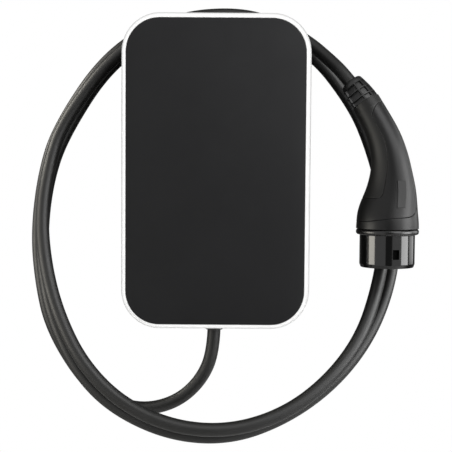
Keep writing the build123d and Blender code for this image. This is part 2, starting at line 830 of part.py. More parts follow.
# Control board in front of the relays, on four spacers
control_rear = board_front + spacer_height
control_front = control_rear + board_thickness
with BuildPart() as board_spacers:
    with BuildSketch(from_wall(board_front)):
        with Locations(*spacer_places):
            RegularPolygon(spacer_radius, spacer_sides)
            Circle(board_screw_radius + screw_gap, mode=Mode.SUBTRACT)
    extrude(amount=spacer_height)
board_spacers.part.label = "board_spacers"
export_step(board_spacers.part, "parts/board_spacers.step")

with BuildPart() as control_board:
    with BuildSketch(from_wall(control_rear)):
        with Locations((0, control_centre_z)):
            RectangleRounded(control_width, control_height, board_corner)
        with Locations(*spacer_places):
            Circle(board_screw_radius + screw_gap, mode=Mode.SUBTRACT)
    extrude(amount=board_thickness)
control_board.part.label = "control_board"
export_step(control_board.part, "parts/control_board.step")

with BuildPart() as spacer_screws:
    with BuildSketch(from_wall(control_front)):
        with Locations(*spacer_places):
            Circle(board_screw_head_radius)
    extrude(amount=board_screw_head)
    with BuildSketch(from_wall(control_front)):
        with Locations(*spacer_places):
            Circle(board_screw_radius)
    extrude(amount=-board_thickness - board_screw_bite)
spacer_screws.part.label = "spacer_screws"
export_step(spacer_screws.part, "parts/spacer_screws.step")

with BuildPart() as processor_shield:
    with BuildSketch(from_wall(control_front)):
        with Locations((-control_width / 4, control_centre_z)):
            Rectangle(shield_size, shield_size)
    extrude(amount=shield_height)
    chamfer(processor_shield.faces().sort_by(Axis.Y)[0].edges(), panel_edge)
processor_shield.part.label = "processor_shield"
export_step(processor_shield.part, "parts/processor_shield.step")

with BuildPart() as radio_module:
    with BuildSketch(from_wall(control_front)):
        with Locations((control_width / 4, control_centre_z)):
            Rectangle(radio_width, radio_height)
    extrude(amount=radio_thickness)
    chamfer(radio_module.faces().sort_by(Axis.Y)[0].edges(), panel_edge)
radio_module.part.label = "radio_module"
export_step(radio_module.part, "parts/radio_module.step")

with BuildPart() as status_board:
    with BuildSketch(from_wall(status_back)):
        with Locations((0, status_z)):
            RectangleRounded(status_width, status_height, board_corner)
        with Locations(*status_screw_places):
            Circle(board_screw_radius + screw_gap, mode=Mode.SUBTRACT)
    extrude(amount=board_thickness)
status_board.part.label = "status_board"
export_step(status_board.part, "parts/status_board.step")

with BuildPart() as status_screws:
    with BuildSketch(from_wall(status_back)):
        with Locations(*status_screw_places):
            Circle(board_screw_head_radius)
    extrude(amount=-board_screw_head)
    with BuildSketch(from_wall(status_back)):
        with Locations(*status_screw_places):
            Circle(board_screw_radius)
    extrude(amount=board_screw_bite - fit_gap)
status_screws.part.label = "status_screws"
export_step(status_screws.part, "parts/status_screws.step")

with BuildPart() as light_guide:
    with BuildSketch(from_wall(status_front)):
        with Locations((0, status_z)):
            SlotOverall(guide_width, guide_height)
    extrude(amount=panel_post_height)
light_guide.part.label = "light_guide"
export_step(light_guide.part, "parts/light_guide.step")

# Flat lead between the two boards
with BuildPart() as ribbon_cable:
    with BuildSketch(Plane.YZ):
        with Locations((-(control_front + status_back) / 2, status_z - status_height / 4)):
            Rectangle(status_back - control_front, ribbon_thickness)
    extrude(amount=ribbon_width / 2, both=True)
ribbon_cable.part.label = "ribbon_cable"
export_step(ribbon_cable.part, "parts/ribbon_cable.step")

# Cable outlet: body, locknut, seal and cap round the cable
hex_bottom = bay_roof - gland_hex_height
cap_bottom = hex_bottom - gland_cap_height
nut_bottom = bay_roof + housing_wall
with BuildPart() as gland_body:
    with BuildSketch(at_height(hex_bottom)):
        with Locations((outlet_x, -outlet_depth)):
            RegularPolygon(gland_hex_radius, gland_hex_sides)
    extrude(amount=gland_hex_height)
    with BuildSketch(at_height(bay_roof)):
        with Locations((outlet_x, -outlet_depth)):
            Circle(gland_thread_radius)
    extrude(amount=gland_stem_height)
    with BuildSketch(at_height(hex_bottom)):
        with Locations((outlet_x, -outlet_depth)):
            Circle(cable_bore_radius)
    extrude(amount=gland_hex_height + gland_stem_height, mode=Mode.SUBTRACT)
gland_body.part.label = "gland_body"
export_step(gland_body.part, "parts/gland_body.step")

with BuildPart() as gland_locknut:
    with BuildSketch(at_height(nut_bottom)):
        with Locations((outlet_x, -outlet_depth)):
            RegularPolygon(gland_hex_radius, gland_hex_sides)
            Circle(gland_thread_radius + screw_gap, mode=Mode.SUBTRACT)
    extrude(amount=gland_nut_height)
gland_locknut.part.label = "gland_locknut"
export_step(gland_locknut.part, "parts/gland_locknut.step")

with BuildPart() as gland_seal:
    with BuildSketch(at_height(hex_bottom)):
        with Locations((outlet_x, -outlet_depth)):
            Circle(cable_bore_radius + gland_seal_wall)
            Circle(cable_bore_radius, mode=Mode.SUBTRACT)
    extrude(amount=-gland_seal_height)
gland_seal.part.label = "gland_seal"
export_step(gland_seal.part, "parts/gland_seal.step")

with BuildPart() as gland_cap:
    with BuildSketch(at_height(hex_bottom)):
        with Locations((outlet_x, -outlet_depth)):
            RegularPolygon(gland_cap_radius, gland_hex_sides)
    extrude(amount=-gland_cap_height)
    with BuildSketch(at_height(cap_bottom)):
        with Locations((outlet_x, -outlet_depth)):
            Circle(gland_tail_radius)
    with BuildSketch(at_height(cap_bottom - gland_tail_height)):
        with Locations((outlet_x, -outlet_depth)):
            Circle(gland_tail_tip)
    loft()
    fillet(gland_cap.faces().sort_by(Axis.Z)[0].edges(), gland_tail_edge)
    with BuildSketch(at_height(hex_bottom)):
        with Locations((outlet_x, -outlet_depth)):
            Circle(cable_bore_radius + gland_seal_wall + fit_gap)
    extrude(amount=-gland_seal_height - fit_gap, mode=Mode.SUBTRACT)
    with BuildSketch(at_height(hex_bottom)):
        with Locations((outlet_x, -outlet_depth)):
            Circle(cable_bore_radius)
    extrude(amount=-gland_cap_height - gland_tail_height, mode=Mode.SUBTRACT)
gland_cap.part.label = "gland_cap"
export_step(gland_cap.part, "parts/gland_cap.step")

# Stripped end of the cable: sheath through the gland, then five cores through the sensor ring
tail_bottom = float(cable_points[0][2])
tail_top = tail_bottom + tail_length
core_depth = board_front + sensor_depth / 2
relay_foot = relay_z - relay_height / 2
core_landings = [
    ((place - (relay_count - 1) / 2) * relay_pitch, -board_front - relay_depth / 2, relay_foot,
     -core_rise)
    for place in range(relay_count)
]
core_landings.append((earth_bar_x - earth_bar_width / 4, -board_front - earth_bar_depth / 2,
                      earth_bar_z + earth_bar_height / 2, core_rise))
with BuildPart() as cable_cores:
    with BuildSketch(at_height(tail_bottom)):
        with Locations((outlet_x, -outlet_depth)):
            Circle(cable_diameter / 2)
    extrude(amount=tail_length)
    for number, (end_x, end_y, end_z, rise) in enumerate(core_landings):
        way = 2 * math.pi * number / len(core_landings)
        ring_x = outlet_x + core_ring_radius * math.cos(way)
        ring_y = core_ring_radius * math.sin(way)
        with BuildLine() as core_route:
            FilletPolyline(
                (ring_x, ring_y - outlet_depth, tail_top - core_radius),
                (ring_x, ring_y - core_depth, sensor_z - sensor_height),
                (ring_x, ring_y - core_depth, sensor_z + sensor_height),
                (end_x, end_y, end_z + rise),
                (end_x, end_y, end_z),
                radius=core_bend,
            )
        with BuildSketch(Plane(origin=core_route.line @ 0, z_dir=core_route.line % 0)):
            Circle(core_radius)
        sweep(path=core_route.line)
cable_cores.part.label = "cable_cores"
export_step(cable_cores.part, "parts/cable_cores.step")

# Charging cable: straight runs joined by tangent arcs
radii = tube_radii(cable_points)
print("cord radii", [round(radius) for radius in radii])
with BuildPart() as charging_cable:
    with BuildLine() as cable_route:
        FilletPolyline(*cable_points, radius=radii)
    with BuildSketch(Plane(origin=cable_route.line @ 0, z_dir=cable_route.line % 0)):
        Circle(cable_diameter / 2)
    sweep(path=cable_route.line)
cable_length = cable_route.wire().length
tube_volume = math.pi * (cable_diameter / 2) ** 2 * cable_length
print("cord length", round(cable_length), "mm, its volume over section times length",
      round(charging_cable.part.volume / tube_volume, 4))
charging_cable.part.label = "charging_cable"
export_step(charging_cable.part, "parts/charging_cable.step")


# The grip's outer form, drawn in by this much: ellipses lofted from the boot to the flange
def handle_skin(inset):
    with BuildPart() as skin:
        for height_share, side_share, width_share, thickness_share, tilt_share in (
                handle_section_shares):
            side = side_share * handle_reach
            height = grip_foot + height_share * handle_height
            with BuildSketch(plug_section(side, height, tilt_share * boot_tilt)):
                Ellipse(width_share * flange_radius - inset, thickness_share * flange_radius - inset)
        loft()
    return skin.part


grip_foot = flange_height / 2 + 2 * seam
grip_solid = handle_skin(0)
grip_hollow = handle_skin(plug_wall)
pad_points = [
    (side_share * flange_radius, grip_foot + height_share * handle_height)
    for height_share, side_share in pad_seam_shares
]
pad_foot = grip_foot + pad_foot_share * handle_height
pad_left = -2 * flange_radius
pad_top = 1.3 * handle_height


# Everything on the inner side of the inlay's seam, with the seam moved out by this much
def pad_region(grow):
    seam_points = [(side + grow, height) for side, height in pad_points]
    foot = pad_foot - grow
    with BuildSketch(Plane.XY) as region:
        with BuildLine():
            seam_line = Spline(*seam_points)
            corner = (seam_points[-1][0] - pad_corner, foot)
            Spline(seam_line @ 1, corner, tangents=(seam_line % 1, (-1, 0)))
            Polyline(corner, (pad_left, foot), (pad_left, pad_top), (seam_points[0][0], pad_top),
                     seam_points[0])
        make_face()
    return region.sketch


collar_plane = Plane(
    origin=plug_origin + Vector(0, 0, flange_height / 2 + collar_height),
    x_dir=plug_side * math.cos(math.radians(collar_slope))
    + Vector(0, 0, math.sin(math.radians(collar_slope))),
    z_dir=Vector(0, 0, math.cos(math.radians(collar_slope)))
    - plug_side * math.sin(math.radians(collar_slope)),
)


# The block that the bare plate on the grip's side is cut with
def plate_box(grow):
    around = math.radians(plate_turn)
    lean = math.radians(plate_tilt)
    outward = plug_side * math.sin(around) - plug_back * math.cos(around)
    across = plug_side * math.cos(around) + plug_back * math.sin(around)
    reach = plate_radius_share * flange_radius
    facing = outward * math.cos(lean) + Vector(0, 0, math.sin(lean))
    place = plug_origin + outward * (reach - plate_depth) + Vector(0, 0, plate_middle)
    with BuildPart() as block:
        with BuildSketch(Plane(origin=place, x_dir=across, z_dir=facing)):
            Rectangle(plate_width + 2 * grow, plate_height + 2 * grow)
        extrude(amount=overrun)
    return block.part


# The cable ends inside the boot, on the boot's axis, and the clamp is beyond it
tail_start = Vector(*cable_points[-1])
tail_way = (tail_start - Vector(*cable_points[-2])).normalized()
clamp_place = tail_start + tail_way * (boot_length / 2 + clamp_distance)
clamp_plane = Plane(origin=clamp_place, x_dir=plug_back, z_dir=tail_way)

handle_screw_points = [
    (side_share * flange_radius, grip_foot + height_share * handle_height)
    for height_share, side_share in handle_screw_shares
]


with BuildPart() as screw_bosses:
    with BuildSketch(plug_middle):
        with Locations(*handle_screw_points):
            Circle(handle_boss_radius)
    extrude(amount=flange_radius, both=True)
    add(grip_solid, mode=Mode.INTERSECT)


pad_outline = pad_region(-seam)
pad_cut = pad_region(seam)
plate_block = plate_box(0)
plate_cut = plate_box(seam)


# One half of the grip: 1 faces the room and -1 the wall
def grip_half(facing):
    with BuildPart() as half:
        add(grip_solid)
        add(grip_hollow, mode=Mode.SUBTRACT)
        add(screw_bosses.part)
        with BuildSketch(plug_middle.offset(-handle_screw_seat)):
            with Locations(*handle_screw_points):
                Circle(handle_screw_radius + screw_gap)
        extrude(amount=handle_screw_length + fit_gap, mode=Mode.SUBTRACT)
        with BuildSketch(plug_middle.offset(-handle_screw_seat)):
            with Locations(*handle_screw_points):
                Circle(handle_screw_head_radius + screw_gap)
        extrude(amount=-flange_radius, mode=Mode.SUBTRACT)
        with BuildSketch(plug_middle.offset(facing * seam)):
            Rectangle(3 * handle_height, 3 * handle_height)
        extrude(amount=-facing * 2 * flange_radius, mode=Mode.SUBTRACT)
        with BuildSketch(plug_middle):
            add(pad_cut)
        extrude(amount=2 * flange_radius, both=True, mode=Mode.SUBTRACT)
        with BuildSketch(collar_plane.offset(seam)):
            Rectangle(3 * flange_radius, 3 * flange_radius)
        extrude(amount=-flange_radius, mode=Mode.SUBTRACT)
        if facing > 0:
            add(plate_cut, mode=Mode.SUBTRACT)
    return half.part


front_shell = grip_half(1)
back_shell = grip_half(-1)
with BuildPart() as handle_front:
    add(front_shell)
handle_front.part.label = "handle_front"
export_step(handle_front.part, "parts/handle_front.step")

with BuildPart() as handle_back:
    add(back_shell)
handle_back.part.label = "handle_back"
export_step(handle_back.part, "parts/handle_back.step")

with BuildPart() as name_plate:
    add(grip_solid)
    add(plate_block, mode=Mode.INTERSECT)
name_plate.part.label = "name_plate"
export_step(name_plate.part, "parts/name_plate.step")

with BuildPart() as grip_pad:
    add(grip_solid)
    add(grip_hollow, mode=Mode.SUBTRACT)
    with BuildSketch(plug_middle):
        add(pad_outline)
    extrude(amount=2 * flange_radius, both=True, mode=Mode.INTERSECT)
grip_pad.part.label = "grip_pad"
export_step(grip_pad.part, "parts/grip_pad.step")

with BuildPart() as plug_collar:
    add(grip_solid)
    add(grip_hollow, mode=Mode.SUBTRACT)
    with BuildSketch(collar_plane.offset(-seam)):
        Rectangle(3 * flange_radius, 3 * flange_radius)
    extrude(amount=2 * handle_height, mode=Mode.SUBTRACT)
plug_collar.part.label = "plug_collar"
export_step(plug_collar.part, "parts/plug_collar.step")

# Shroud with its flange, and the pocket that the car's lock pin enters
flange_bottom = -flange_height / 2
flange_top = flange_height / 2
rim = flange_bottom - nose_length
cavity_radius = nose_radius - nose_wall
with BuildPart() as plug_nose:
    with BuildSketch(plug_at(rim)):
        Circle(nose_radius)
    extrude(amount=nose_length)
    chamfer(plug_nose.faces().sort_by(Axis.Z)[0].edges(), nose_edge)
    with BuildSketch(plug_at(flange_bottom)):
        Circle(flange_radius)
    extrude(amount=flange_height)
    chamfer(plug_nose.faces().sort_by(Axis.Z)[-1].edges(), nose_edge / 2)
    with BuildSketch(plug_at(flange_top)):
        Circle(spigot_radius)
    extrude(amount=spigot_height)
    with BuildSketch(plug_at(rim)):
        Circle(cavity_radius)
    extrude(amount=insert_back - rim, mode=Mode.SUBTRACT)
    with BuildSketch(plug_at(insert_back)):
        Circle(cavity_radius - insert_ledge)
    extrude(amount=flange_top + spigot_height - insert_back, mode=Mode.SUBTRACT)
    hole_way = math.radians(lock_hole_turn)
    hole_facing = plug_side * math.sin(hole_way) - plug_back * math.cos(hole_way)
    hole_place = plug_origin + Vector(0, 0, lock_hole_middle)
    with BuildSketch(Plane(origin=hole_place, x_dir=(0, 0, 1), z_dir=hole_facing).offset(
            nose_radius - 2 * nose_wall)):
        Rectangle(lock_hole_height, lock_hole_width)
    extrude(amount=4 * nose_wall, mode=Mode.SUBTRACT)
plug_nose.part.label = "plug_nose"
export_step(plug_nose.part, "parts/plug_nose.step")

with BuildPart() as nose_seal:
    with BuildSketch(plug_at(flange_top)):
        Circle(spigot_radius + seal_width)
        Circle(spigot_radius, mode=Mode.SUBTRACT)
    extrude(amount=seal_height)
nose_seal.part.label = "nose_seal"
export_step(nose_seal.part, "parts/nose_seal.step")

# Insulating insert with a post for each pole
power_places = [
    (0, 0), (-face_pitch_wide, 0), (face_pitch_wide, 0),
    (-face_pitch_x, -face_row), (face_pitch_x, -face_row),
]
signal_places = [(-face_pitch_x, face_row), (face_pitch_x, face_row)]
insert_face = insert_back - insert_thickness
post_end = insert_face - post_height
with BuildPart() as contact_insert:
    with BuildSketch(plug_at(insert_face)):
        Circle(cavity_radius - fit_gap)
    extrude(amount=insert_thickness)
    with BuildSketch(plug_at(post_end)):
        with Locations(*power_places):
            Circle(post_radius)
        with Locations(*signal_places):
            Circle(signal_post_radius)
    extrude(amount=post_height)
    with BuildSketch(plug_at(post_end)):
        with Locations(*power_places):
            Circle(power_sleeve_radius + screw_gap)
        with Locations(*signal_places):
            Circle(signal_sleeve_radius + screw_gap)
    extrude(amount=post_height + insert_thickness, mode=Mode.SUBTRACT)
contact_insert.part.label = "contact_insert"
export_step(contact_insert.part, "parts/contact_insert.step")

sleeve_foot = post_end + sleeve_recess
sleeve_top = insert_back + sleeve_tail
sleeve_end_wall = (sleeve_top - sleeve_foot) * sleeve_solid_share
with BuildPart() as power_contacts:
    with BuildSketch(plug_at(sleeve_foot)):
        with Locations(*power_places):
            Circle(power_sleeve_radius)
    extrude(amount=sleeve_top - sleeve_foot)
    with BuildSketch(plug_at(sleeve_foot)):
        with Locations(*power_places):
            Circle(power_sleeve_bore)
    extrude(amount=sleeve_top - sleeve_foot - sleeve_end_wall, mode=Mode.SUBTRACT)
power_contacts.part.label = "power_contacts"
export_step(power_contacts.part, "parts/power_contacts.step")

with BuildPart() as signal_contacts:
    with BuildSketch(plug_at(sleeve_foot)):
        with Locations(*signal_places):
            Circle(signal_sleeve_radius)
    extrude(amount=sleeve_top - sleeve_foot)
    with BuildSketch(plug_at(sleeve_foot)):
        with Locations(*signal_places):
            Circle(signal_sleeve_bore)
    extrude(amount=sleeve_top - sleeve_foot - sleeve_end_wall, mode=Mode.SUBTRACT)
signal_contacts.part.label = "signal_contacts"
export_step(signal_contacts.part, "parts/signal_contacts.step")

# Bend relief: a cone round the cable with three rings of pockets
grip_lean = math.radians(boot_tilt)
grip_up = Vector(0, 0, math.cos(grip_lean)) - plug_side * math.sin(grip_lean)
tip_lean = math.radians(2 * boot_axis_tilt - boot_tilt)
tip_up = Vector(0, 0, math.cos(tip_lean)) - plug_side * math.sin(tip_lean)
boot_lean = math.radians(boot_axis_tilt)
boot_up = Vector(0, 0, math.cos(boot_lean)) - plug_side * math.sin(boot_lean)
boot_across = plug_side * math.cos(boot_lean) + Vector(0, 0, math.sin(boot_lean))
grip_end = plug_origin + plug_side * (-handle_reach) + Vector(0, 0, grip_foot + handle_height)
boot_foot = grip_end + grip_up * (2 * seam)
pocket_height = (boot_length - 2 * boot_rim - (boot_rows - 1) * pocket_web) / boot_rows
with BuildPart() as plug_boot:
    with BuildSketch(Plane(origin=boot_foot, x_dir=plug_back, z_dir=grip_up)):
        Circle(boot_end_radius)
    with BuildSketch(Plane(origin=boot_foot + boot_up * boot_length, x_dir=plug_back,
                           z_dir=tip_up)):
        Circle(boot_tip_radius)
    loft()
    for row in range(boot_rows):
        along = boot_rim + pocket_height / 2 + row * (pocket_height + pocket_web)
        share = along / boot_length
        radius = boot_end_radius + (boot_tip_radius - boot_end_radius) * share
        width = 2 * math.pi * radius / boot_columns - pocket_web
        pocket_planes = []
        for column in range(boot_columns):
            around = 2 * math.pi * (column + boot_phase_share) / boot_columns
            outward = boot_across * math.cos(around) + plug_back * math.sin(around)
            place = boot_foot + boot_up * along + outward * (radius - pocket_depth)
            pocket_planes.append(Plane(origin=place, x_dir=boot_up, z_dir=outward))
        with BuildSketch(*pocket_planes):
            Rectangle(pocket_height, width)
        extrude(amount=overrun, mode=Mode.SUBTRACT)
    with BuildSketch(Plane(origin=boot_foot, x_dir=plug_back, z_dir=grip_up)):
        Circle(boot_spigot_radius)
    extrude(amount=-boot_spigot)
    with BuildSketch(Plane(origin=tail_start, x_dir=plug_back, z_dir=tail_way)):
        Circle(cable_bore_radius)
    extrude(amount=2 * boot_length, both=True, mode=Mode.SUBTRACT)
plug_boot.part.label = "plug_boot"
export_step(plug_boot.part, "parts/plug_boot.step")

# Clamp on the cable's sheath, split so that its two screws can close it
clamp_radius = cable_diameter / 2 + clamp_wall
clamp_screw_side = cable_diameter / 2 + clamp_wall / 2 - screw_gap
clamp_cut = Plane(origin=clamp_place, x_dir=tail_way, z_dir=plug_back)
clamp_across = tail_way.cross(plug_back)
clamp_screw_planes = [
    Plane(origin=clamp_place + clamp_across * (side * clamp_screw_side), x_dir=tail_way,
          z_dir=plug_back)
    for side in (-1, 1)
]
with BuildPart() as cord_clamp:
    with BuildSketch(clamp_plane):
        Circle(clamp_radius)
        Circle(cable_diameter / 2 + seam, mode=Mode.SUBTRACT)
    extrude(amount=clamp_length / 2, both=True)
    with BuildSketch(clamp_cut):
        Rectangle(2 * clamp_length, 3 * clamp_radius)
    extrude(amount=clamp_slit / 2, both=True, mode=Mode.SUBTRACT)
    with BuildSketch(*clamp_screw_planes):
        Circle(clamp_screw_radius + screw_gap)
    extrude(amount=clamp_radius, both=True, mode=Mode.SUBTRACT)
    with BuildSketch(*[plane.offset(clamp_screw_seat) for plane in clamp_screw_planes]):
        Circle(clamp_screw_head_radius + screw_gap)
    extrude(amount=clamp_radius, mode=Mode.SUBTRACT)
cord_clamp.part.label = "cord_clamp"
export_step(cord_clamp.part, "parts/cord_clamp.step")

with BuildPart() as clamp_screws:
    with BuildSketch(*clamp_screw_planes):
        Circle(clamp_screw_radius)
    extrude(amount=clamp_screw_seat, both=True)
    with BuildSketch(*[plane.offset(clamp_screw_seat) for plane in clamp_screw_planes]):
        Circle(clamp_screw_head_radius)
    extrude(amount=clamp_screw_head)
clamp_screws.part.label = "clamp_screws"
export_step(clamp_screws.part, "parts/clamp_screws.step")

with BuildPart() as handle_screws:
    with BuildSketch(plug_middle.offset(-handle_screw_seat)):
        with Locations(*handle_screw_points):
            Circle(handle_screw_radius)
    extrude(amount=handle_screw_length)
    with BuildSketch(plug_middle.offset(-handle_screw_seat)):
        with Locations(*handle_screw_points):
            Circle(handle_screw_head_radius)
    extrude(amount=-handle_screw_head)
handle_screws.part.label = "handle_screws"
export_step(handle_screws.part, "parts/handle_screws.step")

# Sheath from the cable's end through the clamp, then a wire to each contact
sheath_length = (clamp_place - tail_start).length + clamp_length
sheath_end = tail_start + tail_way * sheath_length
wire_bundle = (plug_origin - plug_side * bundle_side
               + Vector(0, 0, grip_foot + bundle_height_share * handle_height))
with BuildPart() as plug_cores:
    with BuildSketch(Plane(origin=tail_start, x_dir=plug_back, z_dir=tail_way)):
        Circle(cable_diameter / 2)
    extrude(amount=sheath_length)
    wires = [(place, plug_core_radius) for place in power_places]
    wires += [(place, plug_signal_radius) for place in signal_places]
    for (pole_side, pole_back), wire_radius in wires:
        spread = plug_side * pole_side + plug_back * pole_back
        with BuildLine() as wire_route:
            FilletPolyline(
                sheath_end - tail_way * wire_bite + spread * (core_squeeze_share / 2),
                sheath_end + tail_way * plug_core_bend + spread * (core_squeeze_share / 2),
                wire_bundle + spread * core_squeeze_share,
                plug_origin + spread + Vector(0, 0, sleeve_top + wire_lead),
                plug_origin + spread + Vector(0, 0, sleeve_top),
                radius=wire_bend,
            )
        with BuildSketch(Plane(origin=wire_route.line @ 0, z_dir=wire_route.line % 0)):
            Circle(wire_radius)
        sweep(path=wire_route.line)
plug_cores.part.label = "plug_cores"
export_step(plug_cores.part, "parts/plug_cores.step")
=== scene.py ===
import bpy
import bmesh
import numpy as np
from mathutils import Matrix, Vector


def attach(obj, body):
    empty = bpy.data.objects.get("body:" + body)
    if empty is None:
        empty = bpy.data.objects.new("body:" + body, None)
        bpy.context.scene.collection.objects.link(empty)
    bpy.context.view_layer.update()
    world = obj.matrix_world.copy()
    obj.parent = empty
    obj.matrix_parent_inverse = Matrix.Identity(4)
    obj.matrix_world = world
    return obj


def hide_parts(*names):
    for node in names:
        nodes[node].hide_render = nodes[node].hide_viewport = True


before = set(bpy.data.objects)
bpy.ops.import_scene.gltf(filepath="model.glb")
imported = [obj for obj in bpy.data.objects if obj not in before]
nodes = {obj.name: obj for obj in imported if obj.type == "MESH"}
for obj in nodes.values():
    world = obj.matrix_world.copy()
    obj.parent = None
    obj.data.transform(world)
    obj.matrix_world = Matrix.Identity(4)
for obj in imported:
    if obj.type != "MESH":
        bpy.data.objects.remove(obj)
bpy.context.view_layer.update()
mm = 0.001

# Plug's own frame: side points to the outside of its bend, back to the wall
plug = dict(place=(182.4, -102.7, -62.0), turn=25.0, flangeRadius=33.1, flangeHeight=5.8, gap=0.3)
plugPlace = np.array(plug["place"]) * mm
plugTurn = np.radians(plug["turn"])
plugWays = np.array([[np.cos(plugTurn), -np.sin(plugTurn), 0.0],
                     [np.sin(plugTurn), np.cos(plugTurn), 0.0],
                     [0.0, 0.0, 1.0]])


def placed(name, data):
    made = bpy.data.objects.new(name, data)
    bpy.context.collection.objects.link(made)
    return made


# Camera, where the photograph was taken from
view = dict(aim=(11.06, -112.0, -56.84), distance=1100.0, pitch=3.2, roll=0.4, lens=83.2, sensor=36.0,
            clip=(0.05, 20.0))


def makeCamera():
    pitch, roll = np.radians(view["pitch"]), np.radians(view["roll"])
    ahead = np.array([0.0, np.cos(pitch), -np.sin(pitch)])
    level = np.array([1.0, 0.0, 0.0])
    above = np.array([0.0, np.sin(pitch), np.cos(pitch)])
    right = level * np.cos(roll) + above * np.sin(roll)
    top = above * np.cos(roll) - level * np.sin(roll)
    place = (np.array(view["aim"]) - ahead * view["distance"]) * mm
    matrix = np.eye(4)
    matrix[:3] = np.stack([right, top, -ahead, place], axis=1)
    camera = placed("camera", bpy.data.cameras.new("camera"))
    camera.matrix_world = Matrix(matrix.tolist())
    camera.data.sensor_width = view["sensor"]
    camera.data.lens = view["lens"]
    camera.data.clip_start, camera.data.clip_end = view["clip"]
    bpy.context.scene.camera = camera


makeCamera()
print("camera set")


# Shader maths as Python expressions: a socket with the operators that are used
class Value:
    def __init__(self, tree, socket):
        self.tree, self.socket = tree, socket

    def __add__(self, other):
        return self.tree.maths("ADD", self, other)

    def __sub__(self, other):
        return self.tree.maths("SUBTRACT", self, other)

    def __rsub__(self, other):
        return self.tree.maths("SUBTRACT", other, self)

    def __mul__(self, other):
        return self.tree.maths("MULTIPLY", self, other)

    def __lt__(self, other):
        return self.tree.maths("LESS_THAN", self, other)

    def __gt__(self, other):
        return self.tree.maths("GREATER_THAN", self, other)

    __radd__, __rmul__ = __add__, __mul__

    def clamped(self):
        return self.tree.maths("MULTIPLY", self, 1.0, clamp=True)

    def part(self, name):
        return Value(self.tree, self.socket.node.outputs[name])


# Node tree whose nodes all come from one method: a type, its settings and its sockets
class Tree:
    def __init__(self, holder):
        holder.use_nodes = True
        self.nodeTree = holder.node_tree

    def node(self, kind, settings=None, sockets=None):
        made = self.nodeTree.nodes.new(kind)
        for name, value in (settings or {}).items():
            setattr(made, name, value)
        for name, value in (sockets or {}).items():
            self.link(made.inputs[name], value)
        return Value(self, made.outputs[0])

    def link(self, socket, value):
        if isinstance(value, Value):
            self.nodeTree.links.new(value.socket, socket)
        else:
            socket.default_value = value

    def maths(self, operation, first, second, clamp=False):
        settings = dict(operation=operation, use_clamp=clamp)
        return self.node("ShaderNodeMath", settings, {0: first, 1: second})


class Shader(Tree):
    def __init__(self, name, **constants):
        self.material = bpy.data.materials.new(name)
        super().__init__(self.material)
        self.surface = self.nodeTree.nodes["Principled BSDF"]
        self.feed(**constants)
        self.place = self.node("ShaderNodeTexCoord").part("Object")

    def feed(self, **values):
        for name, value in values.items():
            self.link(self.surface.inputs[name.replace("_", " ")], value)
        return self

    def noise(self, scale, detail=2.0, roughness=0.5, place=None):
        return self.node("ShaderNodeTexNoise", None, dict(Vector=place or self.place, Scale=scale,
                                                          Detail=detail, Roughness=roughness))

    def cells(self, scale, feature):
        return self.node("ShaderNodeTexVoronoi", dict(feature=feature),
                         dict(Vector=self.place, Scale=scale))

    def stretched(self, x, y, z):
        return self.node("ShaderNodeMapping", None, dict(Vector=self.place, Scale=(x, y, z)))

    def mixed(self, share, first, second):
        return self.node("ShaderNodeMix", dict(data_type="RGBA"), {0: share, 6: first, 7: second}).part(2)

    def bump(self, height, distance, strength, under=None):
        sockets = dict(Height=height, Distance=distance, Strength=strength)
        if under is not None:
            sockets["Normal"] = under
        return self.node("ShaderNodeBump", None, sockets)


def rgb(level, tint=(1.0, 1.0, 1.0)):
    return (level * tint[0], level * tint[1], level * tint[2], 1.0)


# Moulded plastic: a fine spark-eroded grain, a slow variation of tone, and scuffs that polish it
def mouldedPlastic(name, level, tint=(1, 1, 1), roughness=0.5, grain=2600.0, depth=0.00004,
                   spread=0.12, specular=0.5):
    shader = Shader(name, Specular_IOR_Level=specular)
    slow = shader.noise(14.0, 3.0)
    fine = shader.noise(grain, 2.0, 0.6)
    pits = shader.cells(grain * 0.6, "SMOOTH_F1")
    tone = (slow - 0.5) * spread + (fine - 0.5) * spread * 0.5
    colour = shader.mixed((tone + 0.5).clamped(), rgb(level * 0.8, tint), rgb(level * 1.2, tint))
    scuffs = shader.noise(60.0, 4.0, 0.7)
    rough = roughness + (slow - 0.5) * 0.12 + (scuffs - 0.5) * 0.08
    relief = fine * 0.6 + pits * 0.5
    return shader.feed(Base_Color=colour, Roughness=rough, Normal=shader.bump(relief, depth, 0.6)).material


# White satin moulding: almost even, with a faint grain and a trace of handling
def satinWhite(name):
    shader = Shader(name, Specular_IOR_Level=0.12)
    slow = shader.noise(9.0, 2.0)
    fine = shader.noise(1400.0, 2.0)
    colour = shader.mixed(slow, (0.90, 0.90, 0.90, 1), (0.93, 0.93, 0.925, 1))
    rough = 0.42 + (slow - 0.5) * 0.1
    return shader.feed(Base_Color=colour, Roughness=rough, Normal=shader.bump(fine, 0.00001, 0.3)).material


# Gloss moulding: fine upright hairlines and a slow ripple
def glossPlastic(name, level, tint=(1, 1, 1), roughness=0.12):
    shader = Shader(name, Specular_IOR_Level=0.5)
    slow = shader.noise(20.0, 2.0)
    hairlines = shader.noise(220.0, 3.0, 0.7, shader.stretched(1.0, 1.0, 0.12))
    colour = shader.mixed(slow, rgb(level * 0.9, tint), rgb(level * 1.1, tint))
    rough = roughness + (hairlines - 0.5) * 0.07 + (slow - 0.5) * 0.03
    ripple = shader.bump(shader.noise(90.0, 1.0), 0.00002, 0.35)
    return shader.feed(Base_Color=colour, Roughness=rough, Normal=ripple).material


